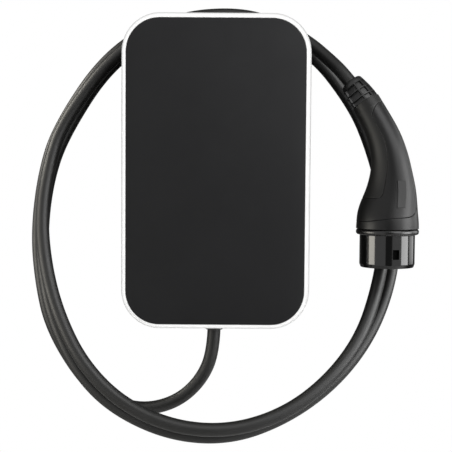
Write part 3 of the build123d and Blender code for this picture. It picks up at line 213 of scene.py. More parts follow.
# Rubber: dusty in places, with a fine grain
def rubber(name, level, tint=(1, 1, 1), roughness=0.6, grain=1500.0, depth=0.00006, specular=0.4):
    shader = Shader(name, Specular_IOR_Level=specular)
    dust = shader.noise(35.0, 4.0, 0.65)
    fine = shader.noise(grain, 3.0, 0.6)
    colour = shader.mixed(dust, rgb(level * 0.85, tint), rgb(level * 1.2, tint))
    rough = roughness + (dust - 0.5) * 0.15 + (fine - 0.5) * 0.1
    return shader.feed(Base_Color=colour, Roughness=rough, Normal=shader.bump(fine, depth, 0.7)).material


# Metal: fine streaks from drawing, dulled by stains
def plainMetal(name, colour, roughness=0.3, scale=180.0, stretch=(1.0, 1.0, 12.0)):
    shader = Shader(name, Metallic=1.0)
    drawn = shader.noise(scale, 3.0, 0.6, shader.stretched(*stretch))
    stains = shader.noise(40.0, 3.0)
    tone = shader.mixed(stains, rgb(0.85, colour), rgb(1.0, colour))
    rough = roughness + (drawn - 0.5) * 0.15 + (stains - 0.5) * 0.1
    return shader.feed(Base_Color=tone, Roughness=rough, Normal=shader.bump(drawn, 0.00003, 0.4)).material


# Circuit board: green laminate with a net of raised tracks
def boardMaterial(name, pitch=0.0051, trackWidth=0.07):
    shader = Shader(name, Coat_Weight=0.4, Coat_Roughness=0.15)
    tracks = shader.cells(1.0 / pitch, "DISTANCE_TO_EDGE")
    lines = tracks < trackWidth
    mottled = shader.noise(160.0, 3.0)
    laminate = shader.mixed(mottled, (0.008, 0.055, 0.022, 1), (0.012, 0.085, 0.03, 1))
    colour = shader.mixed(lines, laminate, (0.02, 0.15, 0.05, 1))
    return shader.feed(Base_Color=colour, Roughness=0.35 + (mottled - 0.5) * 0.1,
                       Normal=shader.bump(lines, 0.00003, 0.5)).material


# Cable sheath: matte extruded rubber with a faint sheen, handling marks and die lines along it
def sheathMaterial(name):
    shader = Shader(name, Specular_IOR_Level=0.42)
    marks = shader.noise(28.0, 4.0, 0.6)
    blotches = shader.noise(90.0, 3.0, 0.55)
    fine = shader.noise(1800.0, 2.0, 0.6)
    share = marks * 0.6 + blotches * 0.4
    colour = shader.mixed(share, (0.004, 0.0041, 0.0039, 1), (0.009, 0.0091, 0.0086, 1))
    rough = 0.45 + (marks - 0.5) * 0.16 + (blotches - 0.5) * 0.12
    waves = shader.bump(blotches, 0.0002, 0.25)
    return shader.feed(Base_Color=colour, Roughness=rough,
                       Normal=shader.bump(fine, 0.00003, 0.4, waves)).material


finishes = dict(
    whiteFrame=satinWhite("whiteFrame"),
    darkPanel=mouldedPlastic("darkPanel", 0.0115, (1, 1.01, 1.06), 0.42, 3400.0, 0.00003, 0.2, 0.12),
    blackPlastic=mouldedPlastic("blackPlastic", 0.024, (1, 1, 1), 0.55),
    greyPlastic=mouldedPlastic("greyPlastic", 0.25, (1, 1, 1.02), 0.5),
    gripPlastic=mouldedPlastic("gripPlastic", 0.004, (1, 1, 1.02), 0.38, 2200.0, 0.00005, 0.2, 0.27),
    flangeSatin=glossPlastic("flangeSatin", 0.002, (1, 1, 1), 0.27),
    padRubber=rubber("padRubber", 0.004, (1.0, 1.01, 0.94), 0.48, specular=0.3),
    bootRubber=rubber("bootRubber", 0.006, (1, 1, 1), 0.42, specular=0.5),
    sealRubber=rubber("sealRubber", 0.02),
    sheath=sheathMaterial("sheath"),
    noseGloss=glossPlastic("noseGloss", 0.001, (1, 1, 1), 0.1),
    # Matte black for the lock pocket's floor: painted shade that stands in for the darkness of a deeper
    # hole
    paintedPocketShade=rubber("paintedPocketShade", 0.0015, roughness=0.9, specular=0.05),
    insertPlastic=mouldedPlastic("insertPlastic", 0.02, (1, 1, 1), 0.4),
    bracketPaint=mouldedPlastic("bracketPaint", 0.03, (1, 1, 1), 0.45, 900.0, 0.00008),
    zincScrew=plainMetal("zincScrew", (0.62, 0.63, 0.65), 0.3),
    brass=plainMetal("brass", (0.72, 0.53, 0.25), 0.28),
    canMetal=plainMetal("canMetal", (0.72, 0.73, 0.74), 0.3),
    barePlate=mouldedPlastic("barePlate", 0.006, (1, 1, 1), 0.4, 1800.0, 0.00002, 0.1, 0.3),
    silverPlate=plainMetal("silverPlate", (0.86, 0.85, 0.82), 0.2),
    circuitBoard=boardMaterial("circuitBoard"),
    blueDisc=glossPlastic("blueDisc", 0.3, (0.1, 0.3, 1.0), 0.3),
    clearGuide=glossPlastic("clearGuide", 0.7, (0.95, 0.98, 1), 0.1),
)
print("finishes made", len(finishes))

nodeFinish = dict(
    wall_bracket="bracketPaint", cable_cradle="blackPlastic", bracket_lock_screw="zincScrew",
    cradle_screws="zincScrew", rear_housing="blackPlastic", housing_gasket="sealRubber",
    front_frame="whiteFrame", front_panel="darkPanel", cover_screws="zincScrew",
    supply_grommet="sealRubber", power_board="circuitBoard", board_screws="zincScrew",
    supply_terminals="greyPlastic", terminal_screws="zincScrew", relays="blackPlastic",
    surge_arresters="blueDisc", residual_current_sensor="greyPlastic",
    power_supply_module="blackPlastic", smoothing_capacitors="canMetal", earth_bar="brass",
    board_spacers="brass", control_board="circuitBoard", spacer_screws="zincScrew",
    processor_shield="canMetal", radio_module="canMetal", ribbon_cable="greyPlastic",
    status_board="circuitBoard", status_screws="zincScrew", light_guide="clearGuide",
    cable_cores="sheath", gland_body="blackPlastic", gland_locknut="blackPlastic",
    gland_seal="sealRubber", gland_cap="blackPlastic", charging_cable="sheath",
    plug_boot="bootRubber", handle_front="gripPlastic", handle_back="gripPlastic",
    grip_pad="padRubber", plug_collar="gripPlastic", name_plate="barePlate",
    plug_nose="noseGloss", nose_seal="sealRubber", contact_insert="insertPlastic",
    power_contacts="silverPlate", signal_contacts="silverPlate", cord_clamp="greyPlastic",
    clamp_screws="zincScrew", handle_screws="zincScrew", plug_cores="sheath",
)
for nodeName, finish in nodeFinish.items():
    materials = nodes[nodeName].data.materials
    materials.clear()
    materials.append(finishes[finish])
print("nodes dressed", len(nodeFinish))


# Mesh from arrays of points and faces; faces are turned outwards by the sign of the volume
def meshPiece(name, points, faces, finish, sharp=35.0):
    mesh = bpy.data.meshes.new(name)
    mesh.from_pydata(np.reshape(points, (-1, 3)).tolist(), [], [list(map(int, face)) for face in faces])
    mesh.update()
    work = bmesh.new()
    work.from_mesh(mesh)
    if work.calc_volume(signed=True) < 0:
        bmesh.ops.reverse_faces(work, faces=work.faces)
    work.to_mesh(mesh)
    work.free()
    mesh.shade_smooth()
    mesh.set_sharp_from_angle(angle=np.radians(sharp))
    mesh.materials.append(finishes[finish])
    piece = placed(name, mesh)
    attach(piece, "root")
    return piece


# Corner numbers of a grid's quads, with its columns or rows closed into rings
def gridFaces(rows, columns, ringColumns=False, ringRows=False):
    ids = np.arange(rows * columns).reshape(rows, columns)
    if ringColumns:
        ids = np.concatenate([ids, ids[:, :1]], axis=1)
    if ringRows:
        ids = np.concatenate([ids, ids[:1]], axis=0)
    return np.stack([ids[:-1, :-1], ids[:-1, 1:], ids[1:, 1:], ids[1:, :-1]], axis=-1).reshape(-1, 4)


# Natural cubic spline through knots: each stretch is a cubic whose bends meet at the knots
def spline(knots, values, at):
    knots, values, at = np.asarray(knots, float), np.asarray(values, float), np.asarray(at, float)
    steps = np.diff(knots)
    slopes = np.diff(values) / steps
    count = len(knots)
    matrix = np.eye(count)
    target = np.zeros(count)
    inner = np.arange(1, count - 1)
    matrix[inner, inner - 1], matrix[inner, inner + 1] = steps[:-1], steps[1:]
    matrix[inner, inner] = 2 * (steps[:-1] + steps[1:])
    target[1:-1] = 6 * np.diff(slopes)
    bends = np.linalg.solve(matrix, target)
    here = np.clip(np.searchsorted(knots, at) - 1, 0, count - 2)
    left, right = at - knots[here], knots[here + 1] - at
    step = steps[here]
    return (bends[here] * right**3 + bends[here + 1] * left**3) / (6 * step) + (
        values[here] / step - bends[here] * step / 6) * right + (
        values[here + 1] / step - bends[here + 1] * step / 6) * left



# Corner numbers of a piece of rings in a row, closed by one face at each end
def cappedFaces(rows, columns):
    ends = [list(range(columns))[::-1], list(range((rows - 1) * columns, rows * columns))]
    return gridFaces(rows, columns, ringColumns=True).tolist() + ends


# Rises from 0 to 1 between shares of 0 and 1, level at both ends
def eased(share):
    share = np.clip(share, 0, 1)
    return share * share * (3 - 2 * share)


# Rises from 0 to 1 as a quarter circle, level at its start and upright at its end
def circleRise(share):
    return 1 - np.sqrt(1 - share**2)


# Places along one edge of a patch, in shares of its length: close together at both rounded ends
def rolledShares(length, count, edge=0.0006, steps=5, crowding=1.6):
    ends = edge / length * (np.arange(steps) / (steps - 1)) ** crowding
    middle = np.linspace(ends[-1], 1 - ends[-1], count)[1:-1]
    return np.concatenate([ends, middle, 1 - ends[::-1]])


# Quarter circle from one point of a profile to another. It leaves the first point along the
# second coordinate, or along the first coordinate when asked
def quarterRound(start, end, steps, alongFirst=False):
    turn = np.linspace(0, np.pi / 2, steps)
    shares = np.stack([1 - np.cos(turn), np.sin(turn)], axis=1)
    if alongFirst:
        shares = shares[:, ::-1]
    return (np.array(start) + (np.array(end) - start) * shares).tolist()


# Rounded rectangle carried as a profile: each profile point is an inset from the outline and a
# depth from the wall, and each outline point stands on the corner arcs' centres
def roundedRing(width, height, corner, profile, arcSteps=16):
    angles = np.concatenate([np.linspace(start, start + 90, arcSteps + 1) for start in (0, 90, 180, 270)])
    quarter = np.repeat(np.arange(4), arcSteps + 1)
    centreX = (width / 2 - corner) * np.array([1, -1, -1, 1])[quarter]
    centreZ = (height / 2 - corner) * np.array([1, 1, -1, -1])[quarter]
    inset, depth = np.array(profile).T[..., None]
    radius = np.maximum(corner - inset, 0.0)
    x = centreX + radius * np.cos(np.radians(angles))
    z = centreZ + radius * np.sin(np.radians(angles))
    return np.stack([x, np.broadcast_to(-depth, x.shape), z], axis=-1) * mm


# The photo's opening is wider by a little at its left and foot, so those halves move outwards
def widened(points, size):
    points = points.copy()
    points[..., 0] -= np.where(points[..., 0] < 0, size["moreLeft"] * mm, 0.0)
    points[..., 2] -= np.where(points[..., 2] < 0, size["moreDown"] * mm, 0.0)
    return points


# White frame round the panel
frameSize = dict(width=199.0, height=332.0, corner=41.0, band=5.3, back=101.6, front=112.0, edge=3.0,
                 innerEdge=0.6, innerMargin=0.6, skirt=3.0, seat=107.8, lip=6.0, moreLeft=0.8,
                 moreDown=1.0)


def makeFrame(size):
    edge, band, innerEdge, front = size["edge"], size["band"], size["innerEdge"], size["front"]
    widenFrom = band - innerEdge - size["innerMargin"]
    profile = [(0.0, size["back"]), (0.0, size["back"] + size["skirt"])]
    profile += quarterRound((0.0, front - edge), (edge, front), steps=9)
    profile += [(widenFrom, front)]
    profile += quarterRound((band - innerEdge, front), (band, front - innerEdge), steps=5, alongFirst=True)
    profile += [(band, size["seat"]), (band + size["lip"], size["seat"]),
                (band + size["lip"], size["back"])]
    points = roundedRing(size["width"], size["height"], size["corner"], profile)
    inner = np.array(profile)[:, 0] >= widenFrom
    points[inner] = widened(points[inner], size)
    faces = gridFaces(*points.shape[:2], ringColumns=True, ringRows=True)
    piece = meshPiece("frameRing", points, faces, "whiteFrame")
    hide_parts("front_frame")
    return piece


# Plate across the cable bay, behind the frame's foot
bay = dict(middle=-1.0, halfWidth=27.0, top=-131.5, bottom=-154.0, corner=4.0, edge=0.5)


def makeBayLand(size, across):
    width, height = 2 * across["halfWidth"], across["top"] - across["bottom"]
    profile = [(across["edge"], size["back"]), (0.0, size["back"] + across["edge"]), (0.0, size["seat"])]
    ring = roundedRing(width, height, across["corner"], profile, arcSteps=6)
    ring += np.array([across["middle"], 0, (across["top"] + across["bottom"]) / 2]) * mm
    piece = meshPiece("bayLand", ring, cappedFaces(*ring.shape[:2]), "whiteFrame")
    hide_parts("front_frame")
    return piece


# Dark panel: flat, with a small rounded edge
panelSize = dict(gap=0.25, back=107.8, front=111.8, edge=0.6)


def makePanel(size, around):
    inset = around["band"] + size["gap"]
    width, height = around["width"] - 2 * inset, around["height"] - 2 * inset
    profile = [(0.0, size["back"])]
    profile += quarterRound((0.0, size["front"] - size["edge"]), (size["edge"], size["front"]), steps=6)
    ring = widened(roundedRing(width, height, around["corner"] - inset, profile), around)
    piece = meshPiece("frontPanel", ring, cappedFaces(*ring.shape[:2]), "darkPanel")
    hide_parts("front_panel")
    return piece


framePieces = [makeFrame(frameSize), makeBayLand(frameSize, bay)]
frontPanel = makePanel(panelSize, frameSize)
print("front made")

# Charging cable: the route's points from the outlet to the plug, in metres
cable = dict(diameter=0.0143, length=3.59, exit=(-0.001, -0.078, -0.163), stepsAlong=12, stepsRound=9)
cableRoute = [
    (-0.001, -0.078, -0.1585), (-0.001, -0.078, -0.1945), (-0.015, -0.078, -0.2285),
    (-0.043, -0.076, -0.2535), (-0.081, -0.074, -0.2625), (-0.119, -0.071, -0.2515),
    (-0.150, -0.066, -0.2245), (-0.182, -0.060, -0.1725), (-0.194, -0.053, -0.1245),
    (-0.200, -0.045, -0.0695), (-0.194, -0.035, -0.0045), (-0.180, -0.022, 0.0475),
    (-0.126, -0.014, 0.1305), (-0.058, -0.012, 0.1715), (0.029, -0.013, 0.1785),
    (0.108, -0.013, 0.1435), (0.160, -0.020, 0.0805), (0.182, -0.027, 0.0295),
    (0.196, -0.036, -0.0245), (0.201, -0.044, -0.0795), (0.190, -0.058, -0.1345),
    (0.165, -0.079, -0.1845), (0.126, -0.102, -0.2265), (0.076, -0.120, -0.2585),
    (0.018, -0.133, -0.2775), (-0.044, -0.133, -0.2745), (-0.103, -0.125, -0.2505),
    (-0.142, -0.114, -0.2165), (-0.168, -0.101, -0.1715), (-0.183, -0.087, -0.1265),
    (-0.191, -0.071, -0.0735), (-0.187, -0.055, -0.0125), (-0.172, -0.038, 0.0395),
    (-0.121, -0.028, 0.1215), (-0.054, -0.028, 0.1625), (0.028, -0.027, 0.1705),
    (0.104, -0.029, 0.1385), (0.153, -0.036, 0.0755), (0.173, -0.044, 0.0265),
    (0.186, -0.052, -0.0255), (0.187, -0.059, -0.0775), (0.177, -0.074, -0.1275),
    (0.157, -0.099, -0.1765), (0.121, -0.122, -0.2185), (0.074, -0.139, -0.2505),
    (0.017, -0.149, -0.2665), (-0.042, -0.150, -0.2625), (-0.097, -0.142, -0.2395),
    (-0.138, -0.132, -0.2005), (-0.165, -0.116, -0.1525), (-0.181, -0.100, -0.1035),
    (-0.189, -0.082, -0.0495), (-0.183, -0.066, 0.0075), (-0.169, -0.052, 0.0545),
    (-0.113, -0.045, 0.1305), (-0.049, -0.044, 0.1685), (0.025, -0.044, 0.1755),
    (0.074, -0.043, 0.1595), (0.102, -0.049, 0.1425), (0.123, -0.067, 0.1215),
    (0.137, -0.081, 0.1055), (0.154, -0.089, 0.0825),
]


def makeCable(facts, route):
    curve = bpy.data.curves.new("chargingCable", "CURVE")
    curve.dimensions = "3D"
    line = curve.splines.new("NURBS")
    line.points.add(len(route) - 1)
    line.points.foreach_set("co", np.hstack([np.array(route), np.ones((len(route), 1))]).ravel())
    line.order_u = 3
    line.use_endpoint_u = True
    line.resolution_u = facts["stepsAlong"]
    curve.bevel_depth = facts["diameter"] / 2
    curve.bevel_resolution = facts["stepsRound"]
    curve.use_fill_caps = True
    curve.materials.append(finishes["sheath"])
    piece = placed("chargingCable", curve)
    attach(piece, "root")
    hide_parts("charging_cable")
    return piece


chargingCable = makeCable(cable, cableRoute)
print("cable laid")

# Grip of the plug. Its form is a row of ellipses from the flange up to the boot: each has its
# middle's height and shift sideways, its half width, its half thickness and its tilt, as shares of
# the grip's height and reach, of the flange's radius and of the tilt at the top
grip = dict(height=132.9, reach=25.5, tilt=35.4, wall=2.2, halfGap=0.14, roll=0.5, topMargin=0.004,
            leastAngle=0.004)
gripSections = np.array([
    (0.0, 0.0, 0.997, 0.997, 0.0), (0.053, 0.0, 0.991, 0.983, 0.0), (0.125, 0.0, 0.965, 0.920, 0.0),
    (0.208, 0.043, 0.907, 0.817, 0.0), (0.307, 0.106, 0.810, 0.696, 0.062),
    (0.456, 0.118, 0.668, 0.593, 0.124), (0.549, 0.059, 0.608, 0.557, 0.311),
    (0.725, -0.204, 0.533, 0.508, 0.588), (0.886, -0.635, 0.487, 0.484, 0.80),
    (1.0, -1.0, 0.478, 0.469, 1.0),
])
gripFoot = plug["flangeHeight"] / 2 + plug["gap"]
middleUp = gripFoot + gripSections[:, 0] * grip["height"]
middleSide = gripSections[:, 1] * grip["reach"]
runs = np.hypot(np.diff(middleSide), np.diff(middleUp))
gripLength = runs.sum()
sectionKnots = np.concatenate([[0], np.cumsum(runs)]) / gripLength
gapShare = grip["halfGap"] / gripLength


# The grip's section at a share of its length: where its middle is, half its sizes, and its tilt
def gripSection(along):
    side = spline(sectionKnots, middleSide, along)
    height = spline(sectionKnots, middleUp, along)
    width = spline(sectionKnots, gripSections[:, 2] * plug["flangeRadius"], along)
    thickness = spline(sectionKnots, gripSections[:, 3] * plug["flangeRadius"], along)
    tilt = np.radians(spline(sectionKnots, gripSections[:, 4] * grip["tilt"], along))
    return side, height, width, thickness, tilt


# A place on the grip: along it from 0 to 1 and round it by an angle, 0 at the outside of the bend
def gripPoint(along, around):
    side, height, width, thickness, tilt = gripSection(along)
    across = width * np.cos(around)
    return np.stack([side + across * np.cos(tilt), thickness * np.sin(around),
                     height + across * np.sin(tilt)], axis=-1)


# Outward normal, from small steps along the surface and round it
def gripNormal(along, around, step=1e-4):
    upwards = gripPoint(along + step, around) - gripPoint(along - step, around)
    sideways = gripPoint(along, around + step) - gripPoint(along, around - step)
    normal = np.cross(sideways, upwards)
    return normal / np.linalg.norm(normal, axis=-1, keepdims=True)


# Share of the grip's length at which its middle stands at a height
def shareAt(height):
    along = np.linspace(0.1, 0.5, 400)
    return np.interp(height, gripSection(along)[1], along)


# From the plug's frame (side, back, up) in millimetres to the row's frame in metres
def plugToRow(points):
    return plugPlace + mm * (np.asarray(points) @ plugWays)


# Evenly spaced points on a spline through a row of points
def curvePoints(points, count):
    knots = np.concatenate([[0], np.cumsum(np.hypot(*np.diff(points, axis=0).T))])
    at = np.linspace(0, knots[-1], count)
    return np.stack([spline(knots, points[:, 0], at), spline(knots, points[:, 1], at)], axis=1)


# Soft inlay on the inside of the bend: its seam as heights and shifts sideways, in shares of the
# grip's height and of the flange's radius, down to a level foot with rounded corners
padSeam = [(1.04, -0.16), (0.968, -0.35), (0.915, -0.41), (0.829, -0.275), (0.734, -0.05),
           (0.546, 0.133), (0.413, 0.118), (0.296, 0.057)]
pad = dict(foot=0.245, corner=6.0, cornerRows=14, firstRow=0.02, top=0.99965, closedAngle=1e-3)
padLine = np.array([(side * plug["flangeRadius"], gripFoot + up * grip["height"]) for up, side in padSeam])
padFootUp = gripFoot + pad["foot"] * grip["height"]
padCorner = quarterRound(padLine[-1], (padLine[-1, 0] - pad["corner"], padFootUp), steps=24)
padCurve = np.concatenate([curvePoints(padLine, count=220), padCorner[1:]])
padFootShare = shareAt(padFootUp)
cornerShares = np.linspace(pad["firstRow"], 1, pad["cornerRows"]) ** 2
cornerRows = padFootShare + pad["corner"] / gripLength * cornerShares


# Angle at which the inlay's seam crosses each section of the grip
def padAngle(along):
    side, height, width, thickness, tilt = gripSection(along)
    offsets = padCurve[None, :, :] - np.stack([side, height], axis=-1)[:, None, :]
    above = offsets[..., 1] * np.cos(tilt)[:, None] - offsets[..., 0] * np.sin(tilt)[:, None]
    across = offsets[..., 0] * np.cos(tilt)[:, None] + offsets[..., 1] * np.sin(tilt)[:, None]
    last = np.clip((above > 0).sum(axis=1), 1, len(padCurve) - 1)
    rows = np.arange(len(along))
    high, low = above[rows, last - 1], above[rows, last]
    share = np.clip(high / np.where(np.abs(high - low) < 1e-9, 1e-9, high - low), 0, 1)
    place = across[rows, last - 1] * (1 - share) + across[rows, last] * share
    return np.arccos(np.clip(place / width, -1, 1))


# Share of the grip's length at which its surface meets the collar's slanted seam, which rises in a
# rounded corner to the parting line on the outside of the bend
collarSeam = dict(height=10.4, slope=6.2, rise=8.0, flat=3.6, wide=15.0)


def collarShare(around, highest=0.3, count=160):
    along = np.linspace(0.0, highest, count)
    grid = gripPoint(along[:, None], around[None, :])
    slope = np.tan(np.radians(collarSeam["slope"]))
    inward = np.clip(1 - (np.abs(grid[..., 1]) - collarSeam["flat"]) / collarSeam["wide"], 0, 1)
    rise = collarSeam["rise"] * circleRise(inward) * (grid[..., 0] > 0)
    above = grid[..., 2] - (plug["flangeHeight"] / 2 + collarSeam["height"] + grid[..., 0] * slope + rise)
    last = (above < 0).sum(axis=0)
    columns = np.arange(len(around))
    low, high = above[last - 1, columns], above[last, columns]
    share = -low / (high - low)
    return along[last - 1] + share * (along[last] - along[last - 1])


# Angle of the parting line, which lies a little to the front of the grip's outermost line
partLine = dict(back=4.2, fadeFrom=0.5, fadeTo=0.85)


def partAngle(along):
    fade = eased((partLine["fadeTo"] - along) / (partLine["fadeTo"] - partLine["fadeFrom"]))
    return np.arcsin(partLine["back"] * fade / gripSection(np.maximum(along, padFootShare))[3])


# Angles once round the grip, closer together within near of the outside of its bend
def anglesRound(near, nearCount, farCount):
    far = np.linspace(near, 2 * np.pi - near, farCount)
    return np.concatenate([np.linspace(-near, near, nearCount), far[1:-1]])


# Lines of the seams on the surface, which pieces measure their distance from
seamAlong = np.linspace(padFootShare, 1.0, 260)
seamAngle = padAngle(seamAlong)
onSurface = seamAngle > pad["closedAngle"]
padEdges = np.concatenate([gripPoint(seamAlong[onSurface], seamAngle[onSurface]),
                           gripPoint(padFootShare, np.linspace(seamAngle[0], np.pi, 120))])
padEdges = np.concatenate([padEdges, padEdges * np.array([1, -1, 1])])
collarAngles = anglesRound(near=0.7, nearCount=400, farCount=240)
collarEdge = gripPoint(collarShare(collarAngles), collarAngles)
collarFoot = gripPoint(-gapShare, collarAngles)
partAlong = np.linspace(0.0, 1.0, 600)
outerPart = gripPoint(partAlong, -partAngle(partAlong))
innerPart = gripPoint(partAlong[partAlong < padFootShare], np.pi)


# Distance from each point to the nearest point of a line, worked out in blocks
def nearest(points, line, block=4000):
    gaps = [np.linalg.norm(points[start:start + block, None] - line, axis=-1).min(axis=1)
            for start in range(0, len(points), block)]
    return np.concatenate(gaps)


# Closed piece from an outer and an inner surface with the same corners: both, and a wall between
# them along each free edge. Corners that no face uses are left out
def thickPiece(name, outer, inner, faces, finish):
    count = len(outer)
    edges = dict.fromkeys(pair for face in faces for pair in zip(face, face[1:] + face[:1]))
    walls = [[b, a, a + count, b + count] for a, b in edges if (b, a) not in edges]
    inside = [[corner + count for corner in face[::-1]] for face in faces]
    allFaces = faces + inside + walls
    used = np.unique(np.concatenate(allFaces))
    renumber = np.full(2 * count, -1)
    renumber[used] = np.arange(len(used))
    allFaces = [renumber[face] for face in allFaces]
    return meshPiece(name, plugToRow(np.concatenate([outer, inner])[used]), allFaces, finish)


# Shell of the grip, as thick as its wall. Near each seam the outer surface sinks in a quarter
# circle that starts half the seam's gap from its line
def closedShell(name, along, around, ids, faces, seams, finish):
    along, around = [grid.ravel() for grid in np.broadcast_arrays(along, around)]
    surface = gripPoint(along, around)
    normal = gripNormal(along, around)
    distance = np.min([nearest(surface, line) for line in seams], axis=0)
    inside = np.clip((distance - grip["halfGap"]) / grip["roll"], 0, 1)
    sunk = grip["roll"] * circleRise(1 - inside)
    faces = [list(dict.fromkeys(face)) for face in ids.ravel()[faces].tolist()]
    faces = [face for face in faces if len(face) > 2]
    return thickPiece(name, surface - normal * sunk[:, None], surface - normal * grip["wall"], faces,
                      finish)


# Soft inlay: rows up the grip, columns round its inner side from seam to seam
def makePad():
    start = padFootShare + gapShare
    rows = start + (pad["top"] - start) * rolledShares((1 - start) * gripLength * mm, count=90)
    along = np.unique(np.concatenate([rows, cornerRows[cornerRows > start]]))
    angle = padAngle(along)
    closed = angle < pad["closedAngle"]
    margin = np.where(closed, 0.0, grip["halfGap"] / gripSection(along)[2])
    first = (angle + margin)[:, None]
    last = (2 * np.pi - angle - margin)[:, None]
    around = first + (last - first) * rolledShares(length=0.09, count=64)
    ids = np.arange(around.size).reshape(around.shape)
    ids[closed, -1] = ids[closed, 0]
    piece = closedShell("gripPad", along[:, None], around, ids, gridFaces(*around.shape), [padEdges],
                        "padRubber")
    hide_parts("grip_pad")
    return piece


# Half of the grip: a lower patch from the parting line right round to the inside of the bend,
# and an upper one as far as the inlay. They share the row at the inlay's foot. The upper one ends
# topMargin short of the seam's own end and is nowhere narrower than leastAngle
def makeHalf(name, facing, node):
    rise = seamAlong[onSurface][-1] - grip["topMargin"] - padFootShare
    rowsUp = padFootShare + rise * rolledShares(rise * gripLength * mm, count=70)
    rowsUp = np.unique(np.concatenate([rowsUp, cornerRows]))
    gapAngle = grip["halfGap"] / gripSection(rowsUp)[2]
    first = gapAngle - facing * partAngle(rowsUp)
    last = np.maximum(padAngle(rowsUp) - gapAngle, first + grip["leastAngle"])
    upperAround = first[:, None] + (last - first)[:, None] * rolledShares(length=0.04, count=24)
    columnsUp = upperAround.shape[1]
    shared = upperAround[0]
    lowerRest = shared[-1] + (np.pi - gapAngle[0] - shared[-1]) * rolledShares(length=0.03, count=18)[1:]
    columnAngles = np.concatenate([shared, lowerRest])
    base = collarShare(columnAngles) + gapShare
    topRow = padFootShare - gapShare * (np.arange(len(columnAngles)) >= columnsUp)
    lowerAlong = base + (topRow - base) * rolledShares(length=0.02, count=22)[:, None]
    lowerAround = np.repeat(columnAngles[None, :], len(lowerAlong), axis=0)
    lowerIds = np.arange(lowerAlong.size).reshape(lowerAlong.shape)
    upperAlong = np.repeat(rowsUp[:, None], columnsUp, axis=1)
    upperIds = lowerAlong.size + np.arange(upperAlong.size).reshape(upperAlong.shape)
    upperIds[0] = lowerIds[-1, :columnsUp]
    faces = np.concatenate([gridFaces(*lowerAlong.shape), gridFaces(*upperAlong.shape) + lowerAlong.size])
    ids = np.concatenate([lowerIds.ravel(), upperIds.ravel()])
    along = np.concatenate([lowerAlong.ravel(), upperAlong.ravel()])
    around = facing * np.concatenate([lowerAround.ravel(), upperAround.ravel()])
    piece = closedShell(name, along, around, ids, faces, [padEdges, collarEdge, outerPart, innerPart],
                        "gripPlastic")
    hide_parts(node)
    return piece


# Collar: columns right round the grip, rows from the flange up to the slanted seam
def makeCollar():
    around = anglesRound(near=0.66, nearCount=90, farCount=120)
    along = (collarShare(around) - gapShare) * rolledShares(length=0.013, count=12)[:, None]
    piece = closedShell("plugCollar", along, around, np.arange(along.size),
                        gridFaces(*along.shape, ringColumns=True), [collarEdge, collarFoot],
                        "gripPlastic")
    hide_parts("plug_collar")
    return piece


gripPad = makePad()
handleFront = makeHalf("handleFront", -1, "handle_front")
handleBack = makeHalf("handleBack", 1, "handle_back")
plugCollar = makeCollar()
print("grip made")

# Bend relief: a cone whose sections turn a little, with three rings of pockets. A ring is given by
# its two ends along the boot, and a pocket on one side by its middle and half width in degrees and
# its depth. The other side mirrors them. Rows of points stand at edgeRows from a pocket's edges
boot = dict(length=27.4, footRadius=15.3, tipRadius=12.0, axisTilt=37.8, bulge=0.9, wall=0.5,
            rings=[(0.8, 5.2), (6.2, 13.2), (14.2, 21.5)],
            pockets=[(17.0, 14.5, 2.6), (50.5, 15.0, 2.6), (101.5, 29.5, 3.6), (151.0, 14.0, 2.6)],
            edgeRows=(-0.25, 0.0, 0.16, 0.32, 0.5, 0.8), footRow=0.25, tipRow=23.5, lipRound=1.2,
            bore=7.45, mouth=[(0.0, 0.8), (0.3, 0.2), (1.2, 0.0)], spigot=7.0, spigotRadius=11.6,
            fillet=0.15, footInset=0.3)
lean = np.radians(boot["axisTilt"])
bootUp = np.array([-np.sin(lean), 0.0, np.cos(lean)])
endLean = np.radians(grip["tilt"])
gripUp = np.array([-np.sin(endLean), 0.0, np.cos(endLean)])
bootFoot = np.array([-grip["reach"], 0.0, gripFoot + grip["height"]]) + gripUp * plug["gap"]


# Place on the boot from the distance along its axis, the angle round it and the radius
def bootPoint(distance, around, radius):
    share = distance / boot["length"]
    tilt = np.radians(grip["tilt"] + share * 2 * (boot["axisTilt"] - grip["tilt"]))
    across = np.stack([np.cos(tilt), np.zeros_like(tilt), np.sin(tilt)], axis=-1)
    back = np.array([0.0, 1.0, 0.0])
    return (bootFoot + distance[..., None] * bootUp + radius[..., None] * (
        np.cos(around)[..., None] * across + np.sin(around)[..., None] * back))


# Rises from 0 to 1 across the wall of a pocket, whose corners are rounded by multiplying two
def pocketMask(offset, half, wall):
    return eased((half - np.abs(offset)) / wall)


